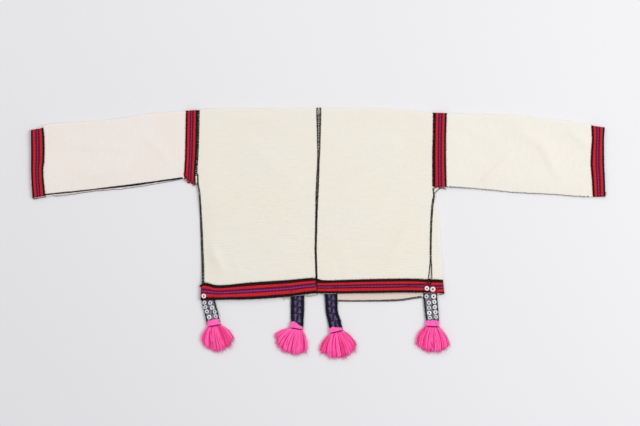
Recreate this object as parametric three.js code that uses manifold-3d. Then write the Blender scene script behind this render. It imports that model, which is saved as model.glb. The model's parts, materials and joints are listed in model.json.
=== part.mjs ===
import * as THREE from "three";
import { mergeVertices } from "three/addons/utils/BufferGeometryUtils.js";
import Module from "manifold-3d";

// A cropped long-sleeve top of handwoven cloth, laid flat with its back up, in millimetres, +Z up.
// Two lengths of cloth go over the shoulders. They are sewn together down the centre back and are
// open down the centre front, which lies underneath. Striped tape binds the armholes, cuffs and hem,
// and four woven straps with yarn tassels hang from the hem.
//
// x runs to the wearer's right from the top of the centre back seam. y is 0 on the shoulder fold and
// falls towards the hem. The finished group is moved so that it stands on z = 0, centred on x and y.

const wasm = await Module();
wasm.setup();

// Cloth, tape and strap
const CLOTH = 1.2;
const TAPE = 1.2;
const STRAP = 1.5;
const GAP = 0.3;
const TAPE_WIDTH = 28.5;

// How far the middle of the upper layer lies above the middle of the lower one
const SEAM_STEP = CLOTH + GAP;
const HEM_STEP = CLOTH + STRAP + 2 * GAP;
const FOLD_STEP = 4.8;
const MOST_STEP = 4.9;
const FOLD_RADIUS = FOLD_STEP / 2;
const FOLD_RUN = 48;
const SEAM_RUN = 26;

// The lower layer rises over the tapes sewn to its underside
const TAPE_LIFT = TAPE + GAP;
const LIFT_RUN = 60;
const TAPE_SWAY = 8; // how far a tape's ends lie beside its places in the tables
const UNDERARM = -157;
const UNDERARM_DROP = 15;

// Yarn tassels
const HEAD_SIDES = 10;
const NECK = 7;
const ROOT_DEPTH = 4;
const TASSEL_MIDDLE = 4.9;
const LOCKS_IN_A_LAYER = 12;

// Pierced shell discs
const SHELL = { thickness: 1.1, hole: 1.3, sides: 9 };

// ---- Outlines, as rows with a place and a value -------------------------------------------------

// The fold along the tops of the sleeves and the shoulders
const TOP_EDGE = [
  { x: -601, y: -48.5 },
  { x: -577, y: -43 },
  { x: -566, y: -35.5 },
  { x: -432, y: -25 },
  { x: -332, y: -10 },
  { x: -277, y: -7.5 },
  { x: -253, y: -6 },
  { x: -225, y: -1.5 },
  { x: -60, y: -1 },
  { x: 0, y: -0.5 },
  { x: 97, y: -0.5 },
  { x: 170, y: -4 },
  { x: 220, y: -8.4 },
  { x: 241, y: -12 },
  { x: 266, y: -12.5 },
  { x: 399, y: -14.6 },
  { x: 505, y: -25.5 },
  { x: 563, y: -34.8 },
  { x: 570, y: -38.8 },
  { x: 597, y: -42.5 },
];

// The bottoms of the sleeves
const LEFT_SLEEVE_SEAM = [
  { x: -601, y: -188 },
  { x: -570, y: -183 },
  { x: -467, y: -170.5 },
  { x: -388, y: -161.8 },
  { x: -284, y: -147 },
  { x: -253, y: -158 },
];
const RIGHT_SLEEVE_SEAM = [
  { x: 239, y: -165 },
  { x: 266, y: -165.3 },
  { x: 329, y: -169 },
  { x: 416, y: -177.5 },
  { x: 475, y: -180 },
  { x: 574, y: -186 },
  { x: 597, y: -185.5 },
];

// Edges that run down the garment, by how far down they are
const CENTRE_SEAM = [
  { down: 0, x: 0 },
  { down: 90, x: 0 },
  { down: 192, x: -4.2 },
  { down: 297, x: -6.7 },
  { down: 355, x: -4.8 },
  { down: 390, x: -4.6 },
];
const NECK_GAP = [
  { down: 0, x: 1.2 },
  { down: 8, x: 2.6 },
  { down: 16, x: GAP },
];
const LEFT_SIDE = [
  { down: 0, x: -252.5 },
  { down: 88, x: -252.7 },
  { down: 137, x: -254 },
  { down: 157, x: -252.7 },
  { down: 176, x: -249.3 },
  { down: 209, x: -247.5 },
  { down: 276, x: -245.2 },
  { down: 339, x: -243 },
  { down: 366, x: -242.5 },
  { down: 376, x: -246.5 },
  { down: 402, x: -246.5 },
];
const RIGHT_SIDE_SEAM = [
  { down: 0, x: 238 },
  { down: 88, x: 237.3 },
  { down: 157, x: 238.2 },
  { down: 168, x: 238.3 },
  { down: 181, x: 240.3 },
  { down: 207, x: 236.4 },
  { down: 276, x: 233.5 },
  { down: 339, x: 233.2 },
  { down: 355, x: 232.2 },
  { down: 388, x: 232.6 },
];
const RIGHT_OUTER_EDGE = [
  { down: 0, x: 237.9 },
  { down: 88, x: 237.2 },
  { down: 157, x: 238.1 },
  { down: 168, x: 238.2 },
  { down: 177, x: 241.5 },
  { down: 190, x: 244 },
  { down: 217, x: 250.5 },
  { down: 280, x: 253.5 },
  { down: 318, x: 257.5 },
  { down: 343, x: 260 },
  { down: 390, x: 260.4 },
];
const FRONT_LEFT_OPENING = [
  { down: 0, x: -0.6 },
  { down: 400, x: -6.5 },
];
const FRONT_RIGHT_OPENING = [
  { down: 0, x: 0.6 },
  { down: 100, x: 6 },
  { down: 200, x: 14 },
  { down: 300, x: 23 },
  { down: 404, x: 32 },
];
const LEFT_CUFF = [
  { down: 40, x: -600.8 },
  { down: 188, x: -595.9 },
];
const RIGHT_CUFF = [
  { down: 40, x: 597.3 },
  { down: 186, x: 595.5 },
];

// Hem edges of the upper (back) and lower (front) layers, and the tape along the back hem
const BACK_HEM = [
  { x: -247, y: -401.3 },
  { x: -217, y: -399.2 },
  { x: -144, y: -398.2 },
  { x: -60, y: -393.4 },
  { x: -5, y: -388.8 },
  { x: 23, y: -388 },
  { x: 128, y: -386.6 },
  { x: 190, y: -385.8 },
  { x: 233, y: -386.4 },
];
const BACK_TAPE_TOP = [
  { x: -247, y: -372.5 },
  { x: -240, y: -368 },
  { x: -219, y: -370.8 },
  { x: -144, y: -364.5 },
  { x: -60, y: -359 },
  { x: -6, y: -354.6 },
  { x: -3, y: -357.4 },
  { x: 3, y: -360.5 },
  { x: 65, y: -358.8 },
  { x: 128, y: -357 },
  { x: 191, y: -356.3 },
  { x: 225, y: -357.6 },
  { x: 233, y: -355.4 },
];
const BACK_TAPE_BOTTOM = [
  { x: -247, y: -401 },
  { x: -217, y: -398.9 },
  { x: -144, y: -397.6 },
  { x: -60, y: -391.8 },
  { x: -5, y: -386.6 },
  { x: 23, y: -387 },
  { x: 128, y: -385.8 },
  { x: 190, y: -385 },
  { x: 233, y: -385.8 },
];
const FRONT_HEM = [
  { x: -247, y: -397 },
  { x: -150, y: -395 },
  { x: -60, y: -389 },
  { x: -6, y: -385 },
  { x: 32, y: -403 },
  { x: 146, y: -403.4 },
  { x: 170, y: -401.5 },
  { x: 190, y: -398 },
  { x: 222, y: -393 },
  { x: 260, y: -386 },
];

// The largest soft folds of the upper layer: middle, turn in degrees, half length, half width, height
const SOFT_FOLDS = [
  { x: 437, y: -67, turn: -34, length: 46, width: 9, height: 1.5 },
  { x: 485, y: -118, turn: -65, length: 42, width: 9, height: 1.5 },
  { x: 372, y: -118, turn: 45, length: 42, width: 10, height: 1.3 },
  { x: 546, y: -71, turn: -40, length: 26, width: 7, height: 1.3 },
  { x: -420, y: -60, turn: 8, length: 90, width: 18, height: 1.0 },
  { x: -500, y: -120, turn: 12, length: 60, width: 16, height: 0.9 },
  { x: 120, y: -108, turn: 38, length: 70, width: 14, height: 1.5 },
  { x: -100, y: -116, turn: -43, length: 70, width: 15, height: 1.2 },
  { x: 165, y: -290, turn: 58, length: 52, width: 15, height: 1.2 },
  { x: -212, y: -315, turn: -63, length: 38, width: 11, height: 1.3 },
  { x: -75, y: -290, turn: 50, length: 46, width: 16, height: 1.0 },
  { x: 40, y: -300, turn: 40, length: 40, width: 13, height: 0.9 },
];

// Tapes round the sleeves, between these places along x
const SLEEVE_TAPES = {
  cuffLeft: { from: -601, to: -573 },
  armholeLeft: { from: -279, to: -253.2 },
  armholeRight: { from: 239, to: 266.5 },
  cuffRight: { from: 570, to: 598 },
};

// Tassels: the middle of the tie below the head, the lean of the head, its width and length, and the
// fan of locks. Angles are in degrees from straight down the garment towards +x.
const TASSELS = {
  outer_left: {
    x: -218.2, down: 454, lean: 11, width: 27, head: 12.6,
    fan: [
      { across: 0, angle: -31, length: 43 },
      { across: 0.45, angle: 6, length: 54 },
      { across: 0.8, angle: 36, length: 55 },
      { across: 1, angle: 52, length: 47 },
    ],
  },
  inner_left: {
    x: -46.6, down: 460.4, lean: -8, width: 26, head: 9.6,
    fan: [
      { across: 0, angle: -70, length: 40 },
      { across: 0.25, angle: -40, length: 50 },
      { across: 0.6, angle: 0, length: 54 },
      { across: 1, angle: 24, length: 50 },
    ],
  },
  inner_right: {
    x: 37, down: 466.8, lean: 14, width: 26.5, head: 7.6,
    fan: [
      { across: 0, angle: -40, length: 50 },
      { across: 0.45, angle: 3, length: 55 },
      { across: 0.75, angle: 32, length: 56 },
      { across: 1, angle: 55, length: 50 },
    ],
  },
  outer_right: {
    x: 237.2, down: 455.8, lean: -3, width: 28, head: 12.6,
    fan: [
      { across: 0, angle: -44, length: 42 },
      { across: 0.4, angle: -8, length: 53 },
      { across: 0.75, angle: 22, length: 56 },
      { across: 1, angle: 41, length: 52 },
    ],
  },
};

// Straps: their middle and half width from the end tucked into the hem down to the tassel's head,
// where they lean as it does, and how far they sag between
const STRAPS = {
  outer_left: {
    sag: 0.2,
    line: [
      { down: 389, x: -234.5, half: 11.2 },
      { down: 402, x: -232.2, half: 11.6 },
      { down: 425, x: -226.4, half: 11.8 },
    ],
  },
  inner_left: {
    sag: 1.8,
    line: [
      { down: 377, x: -43.8, half: 13.4 },
      { down: 398, x: -44.2, half: 13.5 },
      { down: 425, x: -44.4, half: 13.6 },
    ],
  },
  inner_right: {
    sag: 1.8,
    line: [
      { down: 375, x: 25.2, half: 13.2 },
      { down: 388, x: 26.1, half: 13 },
      { down: 424, x: 27, half: 12.2 },
    ],
  },
  outer_right: {
    sag: 0.2,
    line: [
      { down: 374, x: 231.2, half: 13.4 },
      { down: 390, x: 232.6, half: 13.8 },
      { down: 418, x: 235, half: 13.6 },
    ],
  },
};
const STRAP_CLEAR = 407; // how far down a strap has left the lower layer

// A tassel's head and neck along its axis: -1 is the top of the head, 0 the tie and 1 the neck's end
const HEAD_PROFILE = [
  { along: -1, width: 0.86, height: 2.2 },
  { along: -0.82, width: 0.97, height: 3.8 },
  { along: -0.4, width: 1, height: 4.4 },
  { along: -0.08, width: 0.95, height: 3.6 },
  { along: 0.25, width: 0.95, height: 3.6 },
  { along: 1, width: 1.06, height: 4.2 },
];

// Layers of locks in a tassel: heights at root, middle and tip, and how far the row is shifted, in locks
const LOCK_LAYERS = [
  { root: 3, middle: 2.2, tip: 1.6, shift: 0.5 },
  { root: 4.9, middle: 5, tip: 4, shift: 0 },
  { root: 6.8, middle: 7.6, tip: 6.3, shift: 0.5 },
];
const LOCK_THICKNESS = 2;
const LOCK_SHARE = 0.8; // of the distance between two locks

// Shell discs: middle and radius. Those that lie on the hem tape come first.
const LEFT_SHELLS = {
  onTape: 1,
  discs: [
    { x: -239.6, down: 392.3, radius: 5 },
    { x: -238.6, down: 406.2, radius: 4.4 },
    { x: -226.4, down: 406.8, radius: 4.6 },
    { x: -236.8, down: 415.6, radius: 4.5 },
    { x: -222.6, down: 416.6, radius: 4.8 },
    { x: -233.4, down: 424.8, radius: 4.5 },
    { x: -217.2, down: 425.4, radius: 4.3 },
    { x: -228.6, down: 436.4, radius: 4.9 },
    { x: -214.8, down: 434.4, radius: 4.3 },
  ],
};
const RIGHT_SHELLS = {
  onTape: 2,
  discs: [
    { x: 225.2, down: 376.4, radius: 4.9 },
    { x: 237.4, down: 378, radius: 5.6 },
    { x: 224.6, down: 393.4, radius: 4.7 },
    { x: 239.4, down: 393.2, radius: 5.3 },
    { x: 229.4, down: 406.6, radius: 4.7 },
    { x: 241, down: 404.8, radius: 4.6 },
    { x: 229.6, down: 417.2, radius: 4.7 },
    { x: 241.8, down: 415.4, radius: 4.6 },
    { x: 230.2, down: 427.6, radius: 4.8 },
    { x: 243, down: 426, radius: 4.7 },
    { x: 231.4, down: 437.4, radius: 4.3 },
    { x: 244.2, down: 435.8, radius: 4.4 },
  ],
};

const FINISHES = {
  cloth: { color: 0xe7e2d6, roughness: 0.95, metalness: 0 },
  tape: { color: 0xb42a34, roughness: 0.9, metalness: 0 },
  strap: { color: 0x1d2230, roughness: 0.9, metalness: 0 },
  yarn: { color: 0xf7549f, roughness: 0.95, metalness: 0 },
  shell: { color: 0xe4e2dc, roughness: 0.35, metalness: 0 },
};

// ---- Reading the tables -------------------------------------------------------------------------

function clamp(value, low, high) {
  return Math.min(high, Math.max(low, value));
}

function mix(from, to, share) {
  return from + (to - from) * share;
}

// 0 to 1 as the value goes from 0 to 1, level at both ends
function smooth(value) {
  const share = clamp(value, 0, 1);
  return share * share * (3 - 2 * share);
}

// Even steps from one value to another, both ends included
function steps(from, to, count) {
  return Array.from({ length: count + 1 }, (_, i) => mix(from, to, i / count));
}

// A column's value at a place, on a smooth curve through the rows that never swings past them
function along(table, place, key, column) {
  const last = table.length - 1;
  const rise = (i) => (table[i + 1][column] - table[i][column]) / (table[i + 1][key] - table[i][key]);
  const slope = (i) => {
    if (i === 0) return rise(0);
    if (i === last) return rise(last - 1);
    const before = rise(i - 1);
    const after = rise(i);
    return before * after <= 0 ? 0 : (2 * before * after) / (before + after);
  };
  let row = 0;
  while (row < last - 1 && place > table[row + 1][key]) row += 1;
  const [from, to] = [table[row], table[row + 1]];
  const span = to[key] - from[key];
  const t = clamp((place - from[key]) / span, 0, 1);
  const leaving = t * (1 - t) * (1 - t) * span * slope(row);
  const arriving = t * t * (t - 1) * span * slope(row + 1);
  return mix(from[column], to[column], smooth(t)) + leaving + arriving;
}

const yAt = (table, x) => along(table, x, "x", "y");
const xAt = (table, y) => along(table, -y, "down", "x");

// ---- Heights of the two layers ------------------------------------------------------------------

function nearTape({ from, to }, x) {
  const away = Math.max(from - x, x - to) - TAPE_SWAY;
  return smooth(1 - away / LIFT_RUN);
}

// The height of the lower layer's underside
function lift(x, y) {
  const hem = smooth((yAt(FRONT_HEM, x) + TAPE_WIDTH + TAPE_SWAY + LIFT_RUN - y) / LIFT_RUN);
  const { cuffLeft, armholeLeft, armholeRight, cuffRight } = SLEEVE_TAPES;
  const armhole = Math.max(nearTape(armholeLeft, x), nearTape(armholeRight, x));
  const aboveUnderarm = smooth((y - UNDERARM + LIFT_RUN) / (LIFT_RUN - UNDERARM_DROP));
  const cuff = Math.max(nearTape(cuffLeft, x), nearTape(cuffRight, x));
  return TAPE_LIFT * Math.max(hem, armhole * aboveUnderarm, cuff);
}

// How far soft folds raise the upper layer
function foldHeight(x, y) {
  return SOFT_FOLDS.reduce((sum, fold) => {
    const angle = THREE.MathUtils.degToRad(fold.turn);
    const lengthways = (x - fold.x) * Math.cos(angle) + (y - fold.y) * Math.sin(angle);
    const sideways = (y - fold.y) * Math.cos(angle) - (x - fold.x) * Math.sin(angle);
    const fading = (lengthways / fold.length) ** 2 + (sideways / fold.width) ** 2;
    return sum + fold.height * Math.exp(-fading);
  }, 0);
}

// The step between the layers. open is 0 at a seam that closes them and 1 away from it.
function layerStep(x, y, open) {
  const aboveTape = smooth((y - yAt(BACK_TAPE_TOP, x) - 2) / 22);
  const nearFold = 1 - smooth((yAt(TOP_EDGE, x) - y) / FOLD_RUN);
  const raised = (FOLD_STEP - HEM_STEP) * nearFold + aboveTape * foldHeight(x, y);
  return mix(SEAM_STEP, Math.min(MOST_STEP, HEM_STEP + raised), open);
}

// ---- Cloth walls --------------------------------------------------------------------------------

function geometryOf(positions, index) {
  const geometry = new THREE.BufferGeometry();
  geometry.setAttribute("position", new THREE.Float32BufferAttribute(positions, 3));
  geometry.setIndex(index);
  return geometry;
}

// A wall of even thickness round the surface point(u, v), as one closed body. us and vs are the lines
// of its grid, and raised moves it along the surface's normal, which is that of u turned to v.
function wall(point, us, vs, thickness, raised = 0) {
  const near = 1e-3;
  const normal = (u, v) => {
    const [left, right] = [Math.max(us[0], u - near), Math.min(us.at(-1), u + near)];
    const [start, end] = [Math.max(vs[0], v - near), Math.min(vs.at(-1), v + near)];
    const across = point(right, v).sub(point(left, v));
    return across.cross(point(u, end).sub(point(u, start))).normalize();
  };
  const positions = [];
  for (const side of [0.5, -0.5]) {
    for (const v of vs) {
      for (const u of us) {
        const place = point(u, v).addScaledVector(normal(u, v), raised + side * thickness);
        positions.push(...place.toArray());
      }
    }
  }
  const columns = us.length;
  const behind = columns * vs.length;
  const lastRow = behind - columns;
  const index = [];
  const quad = (a, b, c, d) => index.push(a, b, c, a, c, d);
  for (let start = 0; start < lastRow; start += columns) {
    const end = start + columns - 1;
    for (let a = start; a < end; a += 1) {
      quad(a, a + 1, a + columns + 1, a + columns);
      quad(behind + a, behind + a + columns, behind + a + columns + 1, behind + a + 1);
    }
    quad(start, start + columns, behind + start + columns, behind + start);
    quad(end, behind + end, behind + end + columns, end + columns);
  }
  for (let a = 0; a < columns - 1; a += 1) {
    const b = lastRow + a;
    quad(a, behind + a, behind + a + 1, a + 1);
    quad(b, b + 1, behind + b + 1, behind + b);
  }
  return geometryOf(positions, index);
}

// A point of cloth that is folded over at the top edge. v is -2 at the edge of the upper layer, from
// -1 to 1 round the fold, and 2 at the edge of the lower layer. across(y) gives x, and open(x, y) how
// far the layers part.
function foldedPoint(v, top, edge, across, open) {
  const turn = (clamp(v, -1, 1) * Math.PI) / 2;
  const flat = Math.max(0, Math.abs(v) - 1);
  const y = top - FOLD_RADIUS * (1 - Math.cos(turn)) - flat * (top - edge - FOLD_RADIUS);
  const x = across(y);
  const step = layerStep(x, y, open(x, y));
  const height = lift(x, y) + CLOTH / 2 + (step * (1 - Math.sin(turn))) / 2;
  return new THREE.Vector3(x, y, height);
}

// Lines down a folded piece: the upper layer, the fold, and the lower layer, as shares of each layer
function foldedLines(upper, lower) {
  const upperLines = upper.map((share) => -1 - share).reverse();
  return [...upperLines, ...steps(-1, 1, 4), ...lower.map((share) => 1 + share)];
}

// ---- Body ---------------------------------------------------------------------------------------

// u is 0 at the side and 1 at the centre
function bodyLeft(u, v) {
  const place = mix(-246, -4, u);
  const upper = v < 0;
  const centre = (y) => {
    return upper ? xAt(CENTRE_SEAM, y) - xAt(NECK_GAP, y) / 2 : xAt(FRONT_LEFT_OPENING, y);
  };
  const across = (y) => mix(xAt(LEFT_SIDE, y), centre(y), u);
  const open = (x, y) => {
    const fromSide = (x - xAt(LEFT_SIDE, y)) / SEAM_RUN;
    const underarm = 1 - (UNDERARM - y) / SEAM_RUN;
    const overHem = 1 - (y - yAt(BACK_TAPE_TOP, x)) / SEAM_RUN;
    return smooth(Math.max(fromSide, underarm, overHem));
  };
  const edge = yAt(upper ? BACK_HEM : FRONT_HEM, place);
  return foldedPoint(v, yAt(TOP_EDGE, mix(-252.5, -0.6, u)), edge, across, open);
}

// How the width of the right panel is shared out: flat up to u = flat, then round the side edge up to
// u = round, and over the top to the side seam at u = 1. strip is the width beside the edge that
// these last two fill where the panel doesn't go round it, above the underarm.
const WRAP = { flat: 0.76, round: 0.88, strip: 14, startsAt: -169, wholeAt: -200 };

function rightAcross(u, centre, edge) {
  const inner = edge - WRAP.strip;
  if (u < WRAP.flat) return mix(centre, inner, u / WRAP.flat);
  return mix(inner, edge, (u - WRAP.flat) / (1 - WRAP.flat));
}

// u is 0 at the centre and 1 at the side seam
function bodyRight(u, v) {
  const top = yAt(TOP_EDGE, rightAcross(u, 0.6, 238));
  const whole = () => 1;
  if (v < 1) {
    const across = (y) => {
      const centre = xAt(CENTRE_SEAM, y) + xAt(NECK_GAP, y) / 2;
      return rightAcross(u, centre, xAt(RIGHT_SIDE_SEAM, y) - GAP / 2);
    };
    return foldedPoint(v, top, yAt(BACK_HEM, rightAcross(u, -4, 233)), across, whole);
  }
  const across = (y) => rightAcross(u, xAt(FRONT_RIGHT_OPENING, y), xAt(RIGHT_OUTER_EDGE, y));
  const edge = yAt(FRONT_HEM, rightAcross(u, 32, 260));
  const flat = foldedPoint(v, top, edge, across, whole);
  const share = (WRAP.startsAt - flat.y) / (WRAP.startsAt - WRAP.wholeAt);
  return flat.lerp(wrappedPoint(u, flat.y), smooth(share));
}

// The front right panel where it goes round the side edge and lies on the upper side
function wrappedPoint(u, y) {
  const outer = xAt(RIGHT_OUTER_EDGE, y);
  const radius = layerStep(outer, y, 1) / 2;
  const turnsAt = outer - radius;
  const turn = Math.PI * clamp((u - WRAP.flat) / (WRAP.round - WRAP.flat), 0, 1);
  const under = mix(xAt(FRONT_RIGHT_OPENING, y), turnsAt, clamp(u / WRAP.flat, 0, 1));
  const over = clamp((u - WRAP.round) / (1 - WRAP.round), 0, 1);
  const seam = xAt(RIGHT_SIDE_SEAM, y) + GAP / 2;
  const x = mix(under, seam, over) + radius * Math.sin(turn);
  return new THREE.Vector3(x, y, lift(x, y) + CLOTH / 2 + radius * (1 - Math.cos(turn)));
}

// ---- Sleeves ------------------------------------------------------------------------------------

// u goes from the left end of a sleeve to its right end. below is how far the lower layer's edge
// lies past the upper one's.
function sleevePoint(u, v, seam, leftEnd, rightEnd, below) {
  const place = mix(leftEnd(UNDERARM), rightEnd(UNDERARM), u);
  const armhole = Math.abs(place) < 400 ? Math.abs(place) - 253 : 200;
  const open = (x, y) => {
    return smooth(Math.max((y - yAt(seam, x)) / SEAM_RUN, 1 - armhole / SEAM_RUN));
  };
  const edge = yAt(seam, place) - (v > 0 ? below : 0);
  return foldedPoint(v, yAt(TOP_EDGE, place), edge, (y) => mix(leftEnd(y), rightEnd(y), u), open);
}

function sleeveLeft(u, v) {
  const armhole = (y) => xAt(LEFT_SIDE, y) - GAP;
  return sleevePoint(u, v, LEFT_SLEEVE_SEAM, (y) => xAt(LEFT_CUFF, y), armhole, 2.4);
}

function sleeveRight(u, v) {
  const armhole = (y) => xAt(RIGHT_SIDE_SEAM, Math.max(y, UNDERARM)) + GAP;
  return sleevePoint(u, v, RIGHT_SLEEVE_SEAM, armhole, (y) => xAt(RIGHT_CUFF, y), -0.8);
}

// ---- Straps -------------------------------------------------------------------------------------

function directions(lean) {
  const angle = THREE.MathUtils.degToRad(lean);
  return {
    down: new THREE.Vector3(Math.sin(angle), -Math.cos(angle), 0),
    across: new THREE.Vector3(Math.cos(angle), Math.sin(angle), 0),
  };
}

// A strap's rows, with the one that ends at its tassel's head
function strapRows(name) {
  const { x, down, lean, width, head } = TASSELS[name];
  const end = new THREE.Vector3(x, -down, 0).addScaledVector(directions(lean).down, -head - GAP);
  const rows = STRAPS[name].line.map((row) => ({ ...row, lean: 0 }));
  return [...rows, { down: -end.y, x: end.x, half: width * 0.46, lean }];
}

// The height of a strap's middle: between the layers, then down and up to the tassel's head
function strapHeight(name, x, down) {
  const inside = TAPE_LIFT + CLOTH / 2 + HEM_STEP / 2;
  const share = clamp((down - STRAP_CLEAR) / (strapRows(name).at(-1).down - STRAP_CLEAR), 0, 1);
  return mix(inside, TASSEL_MIDDLE, smooth(share)) - STRAPS[name].sag * Math.sin(Math.PI * share);
}

function strap(name) {
  const rows = strapRows(name);
  const point = (u, v) => {
    const [x, half, lean] = ["x", "half", "lean"].map((column) => along(rows, v, "down", column));
    const middle = new THREE.Vector3(x, -v, strapHeight(name, x, v));
    return middle.addScaledVector(directions(lean).across, u * half);
  };
  const clear = steps(STRAP_CLEAR, rows.at(-1).down, 5);
  return wall(point, [-1, 0, 1], [rows[0].down, ...clear], STRAP);
}

// ---- Tassels ------------------------------------------------------------------------------------

// A closed body through rings of points, each ring turning from across to up
function loft(rings) {
  const sides = rings[0].length;
  const positions = rings.flat().flatMap((point) => point.toArray());
  for (const ring of [rings[0], rings.at(-1)]) {
    const middle = new THREE.Vector3();
    ring.forEach((point) => middle.addScaledVector(point, 1 / sides));
    positions.push(...middle.toArray());
  }
  const index = [];
  const lastRing = (rings.length - 1) * sides;
  const caps = rings.length * sides;
  for (let i = 0; i < sides; i += 1) {
    const next = (i + 1) % sides;
    for (let ring = 0; ring < lastRing; ring += sides) {
      const [a, b] = [ring + i, ring + next];
      index.push(a, b, b + sides, a, b + sides, a + sides);
    }
    index.push(caps, next, i, caps + 1, lastRing + i, lastRing + next);
  }
  return geometryOf(positions, index);
}

function solidOf(geometry) {
  const merged = mergeVertices(geometry, 1e-4);
  return new wasm.Manifold(
    new wasm.Mesh({
      numProp: 3,
      vertProperties: merged.attributes.position.array,
      triVerts: new Uint32Array(merged.index.array),
    }),
  );
}

// The same uneven value from -1 to 1 for the same number
function uneven(number) {
  const value = Math.sin(number * 12.9898) * 43758.5453;
  return 2 * (value - Math.floor(value)) - 1;
}

function tasselHead({ x, down, lean, width, head }) {
  const axis = directions(lean);
  return loft(
    HEAD_PROFILE.map((row) => {
      const length = row.along * (row.along < 0 ? head : NECK);
      return Array.from({ length: HEAD_SIDES }, (_, i) => {
        const angle = (2 * Math.PI * i) / HEAD_SIDES;
        const side = Math.sign(Math.cos(angle)) * Math.abs(Math.cos(angle)) ** 0.7;
        const point = new THREE.Vector3(x, -down, TASSEL_MIDDLE + row.height * Math.sin(angle));
        point.addScaledVector(axis.across, (side * row.width * width) / 2);
        return point.addScaledVector(axis.down, length);
      });
    }),
  );
}

// The middle line of a lock, whose place in its layer goes from 0 to 1
function lockLine({ x, down, lean, width, fan }, layer, place, extra) {
  const axis = directions(lean);
  const tie = new THREE.Vector3(x, -down, 0);
  const heading = directions(along(fan, place, "across", "angle"));
  const root = tie.clone().addScaledVector(axis.across, mix(-0.42, 0.42, place) * width);
  root.addScaledVector(axis.down, ROOT_DEPTH).setZ(layer.root);
  const length = along(fan, place, "across", "length") + extra;
  const tip = tie.clone().addScaledVector(heading.down, length).setZ(layer.tip);
  const bend = root.clone().addScaledVector(axis.down, 0.15 * length);
  bend.addScaledVector(heading.down, 0.3 * length).setZ(layer.middle);
  return new THREE.QuadraticBezierCurve3(root, bend, tip);
}

function lock(tassel, layer, place, spacing, seed) {
  const line = lockLine(tassel, layer, place, 2.2 * uneven(seed));
  const left = lockLine(tassel, layer, Math.max(0, place - spacing / 2), 0);
  const right = lockLine(tassel, layer, Math.min(1, place + spacing / 2), 0);
  return loft(
    steps(0, 1, 3).map((share) => {
      const middle = line.getPoint(share);
      const forward = line.getTangent(share).setZ(0).normalize();
      const across = new THREE.Vector3(-forward.y, forward.x, 0);
      const room = Math.abs(right.getPoint(share).sub(left.getPoint(share)).dot(across));
      const taper = share === 1 ? 0.75 : 1;
      const wide = (room * LOCK_SHARE * taper) / 2;
      const thick = (LOCK_THICKNESS * taper) / 2;
      return [
        middle.clone().addScaledVector(across, wide),
        middle.clone().setZ(middle.z + thick),
        middle.clone().addScaledVector(across, -wide),
        middle.clone().setZ(middle.z - thick),
      ];
    }),
  );
}

function tassel(name) {
  let body = solidOf(tasselHead(TASSELS[name]));
  const spacing = 1 / LOCKS_IN_A_LAYER;
  LOCK_LAYERS.forEach((layer, depth) => {
    const count = LOCKS_IN_A_LAYER - Math.ceil(layer.shift);
    for (let i = 0; i < count; i += 1) {
      const place = (i + 0.5 + layer.shift) * spacing;
      const piece = lock(TASSELS[name], layer, place, spacing, TASSELS[name].down + 31 * depth + i);
      body = body.add(solidOf(piece));
    }
  });
  const { vertProperties, triVerts } = body.getMesh();
  return geometryOf(Array.from(vertProperties), Array.from(triVerts));
}

// ---- Shell discs --------------------------------------------------------------------------------

function shellDisc(radius) {
  const { thickness, hole, sides } = SHELL;
  const outline = [
    [hole, 0],
    [radius, 0],
    [radius - 0.4, thickness],
    [hole, thickness],
    [hole, 0],
  ];
  const profile = outline.map(([x, y]) => new THREE.Vector2(x, y));
  return new THREE.LatheGeometry(profile, sides).rotateX(Math.PI / 2);
}

// ---- The garment --------------------------------------------------------------------------------

const garment = new THREE.Group();

function add(name, geometry, finish) {
  const mesh = new THREE.Mesh(geometry, new THREE.MeshStandardMaterial(FINISHES[finish]));
  mesh.name = name;
  garment.add(mesh);
  return mesh;
}

const BODY_UPPER = [0.015, 0.05, 0.12, 0.21, 0.3, 0.39, 0.48, 0.57, 0.66, 0.75, 0.82, 0.87, 0.91, 0.955, 1];
const BODY_LOWER = [0.02, 0.1, 0.3, 0.41, 0.45, 0.49, 0.53, 0.62, 0.74, 0.8, 0.86, 0.91, 0.955, 1];
const SLEEVE_UPPER = [0.04, 0.12, 0.24, 0.36, 0.48, 0.6, 0.72, 0.82, 0.91, 1];
const SLEEVE_LOWER = [0.06, 0.3, 0.7, 0.9, 1];
const LEFT_COLUMNS = [0, 0.05, 0.11, 0.17, 0.24, 0.32, 0.4, 0.48, 0.56, 0.64, 0.72, 0.8, 0.88, 0.95, 1];
const RIGHT_COLUMNS = [
  0, 0.05, 0.12, 0.19, 0.26, 0.33, 0.4, 0.47, 0.54, 0.61, 0.69, WRAP.flat, 0.79, 0.82, 0.85,
  WRAP.round, 0.94, 1,
];

const bodyLines = foldedLines(BODY_UPPER, BODY_LOWER);
add("body_left", wall(bodyLeft, LEFT_COLUMNS, bodyLines, CLOTH), "cloth");
add("body_right", wall(bodyRight, RIGHT_COLUMNS, bodyLines, CLOTH), "cloth");

// A tape lies on cloth, raised from the cloth's own points
const ON_CLOTH = CLOTH / 2 + GAP + TAPE / 2;

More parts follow.
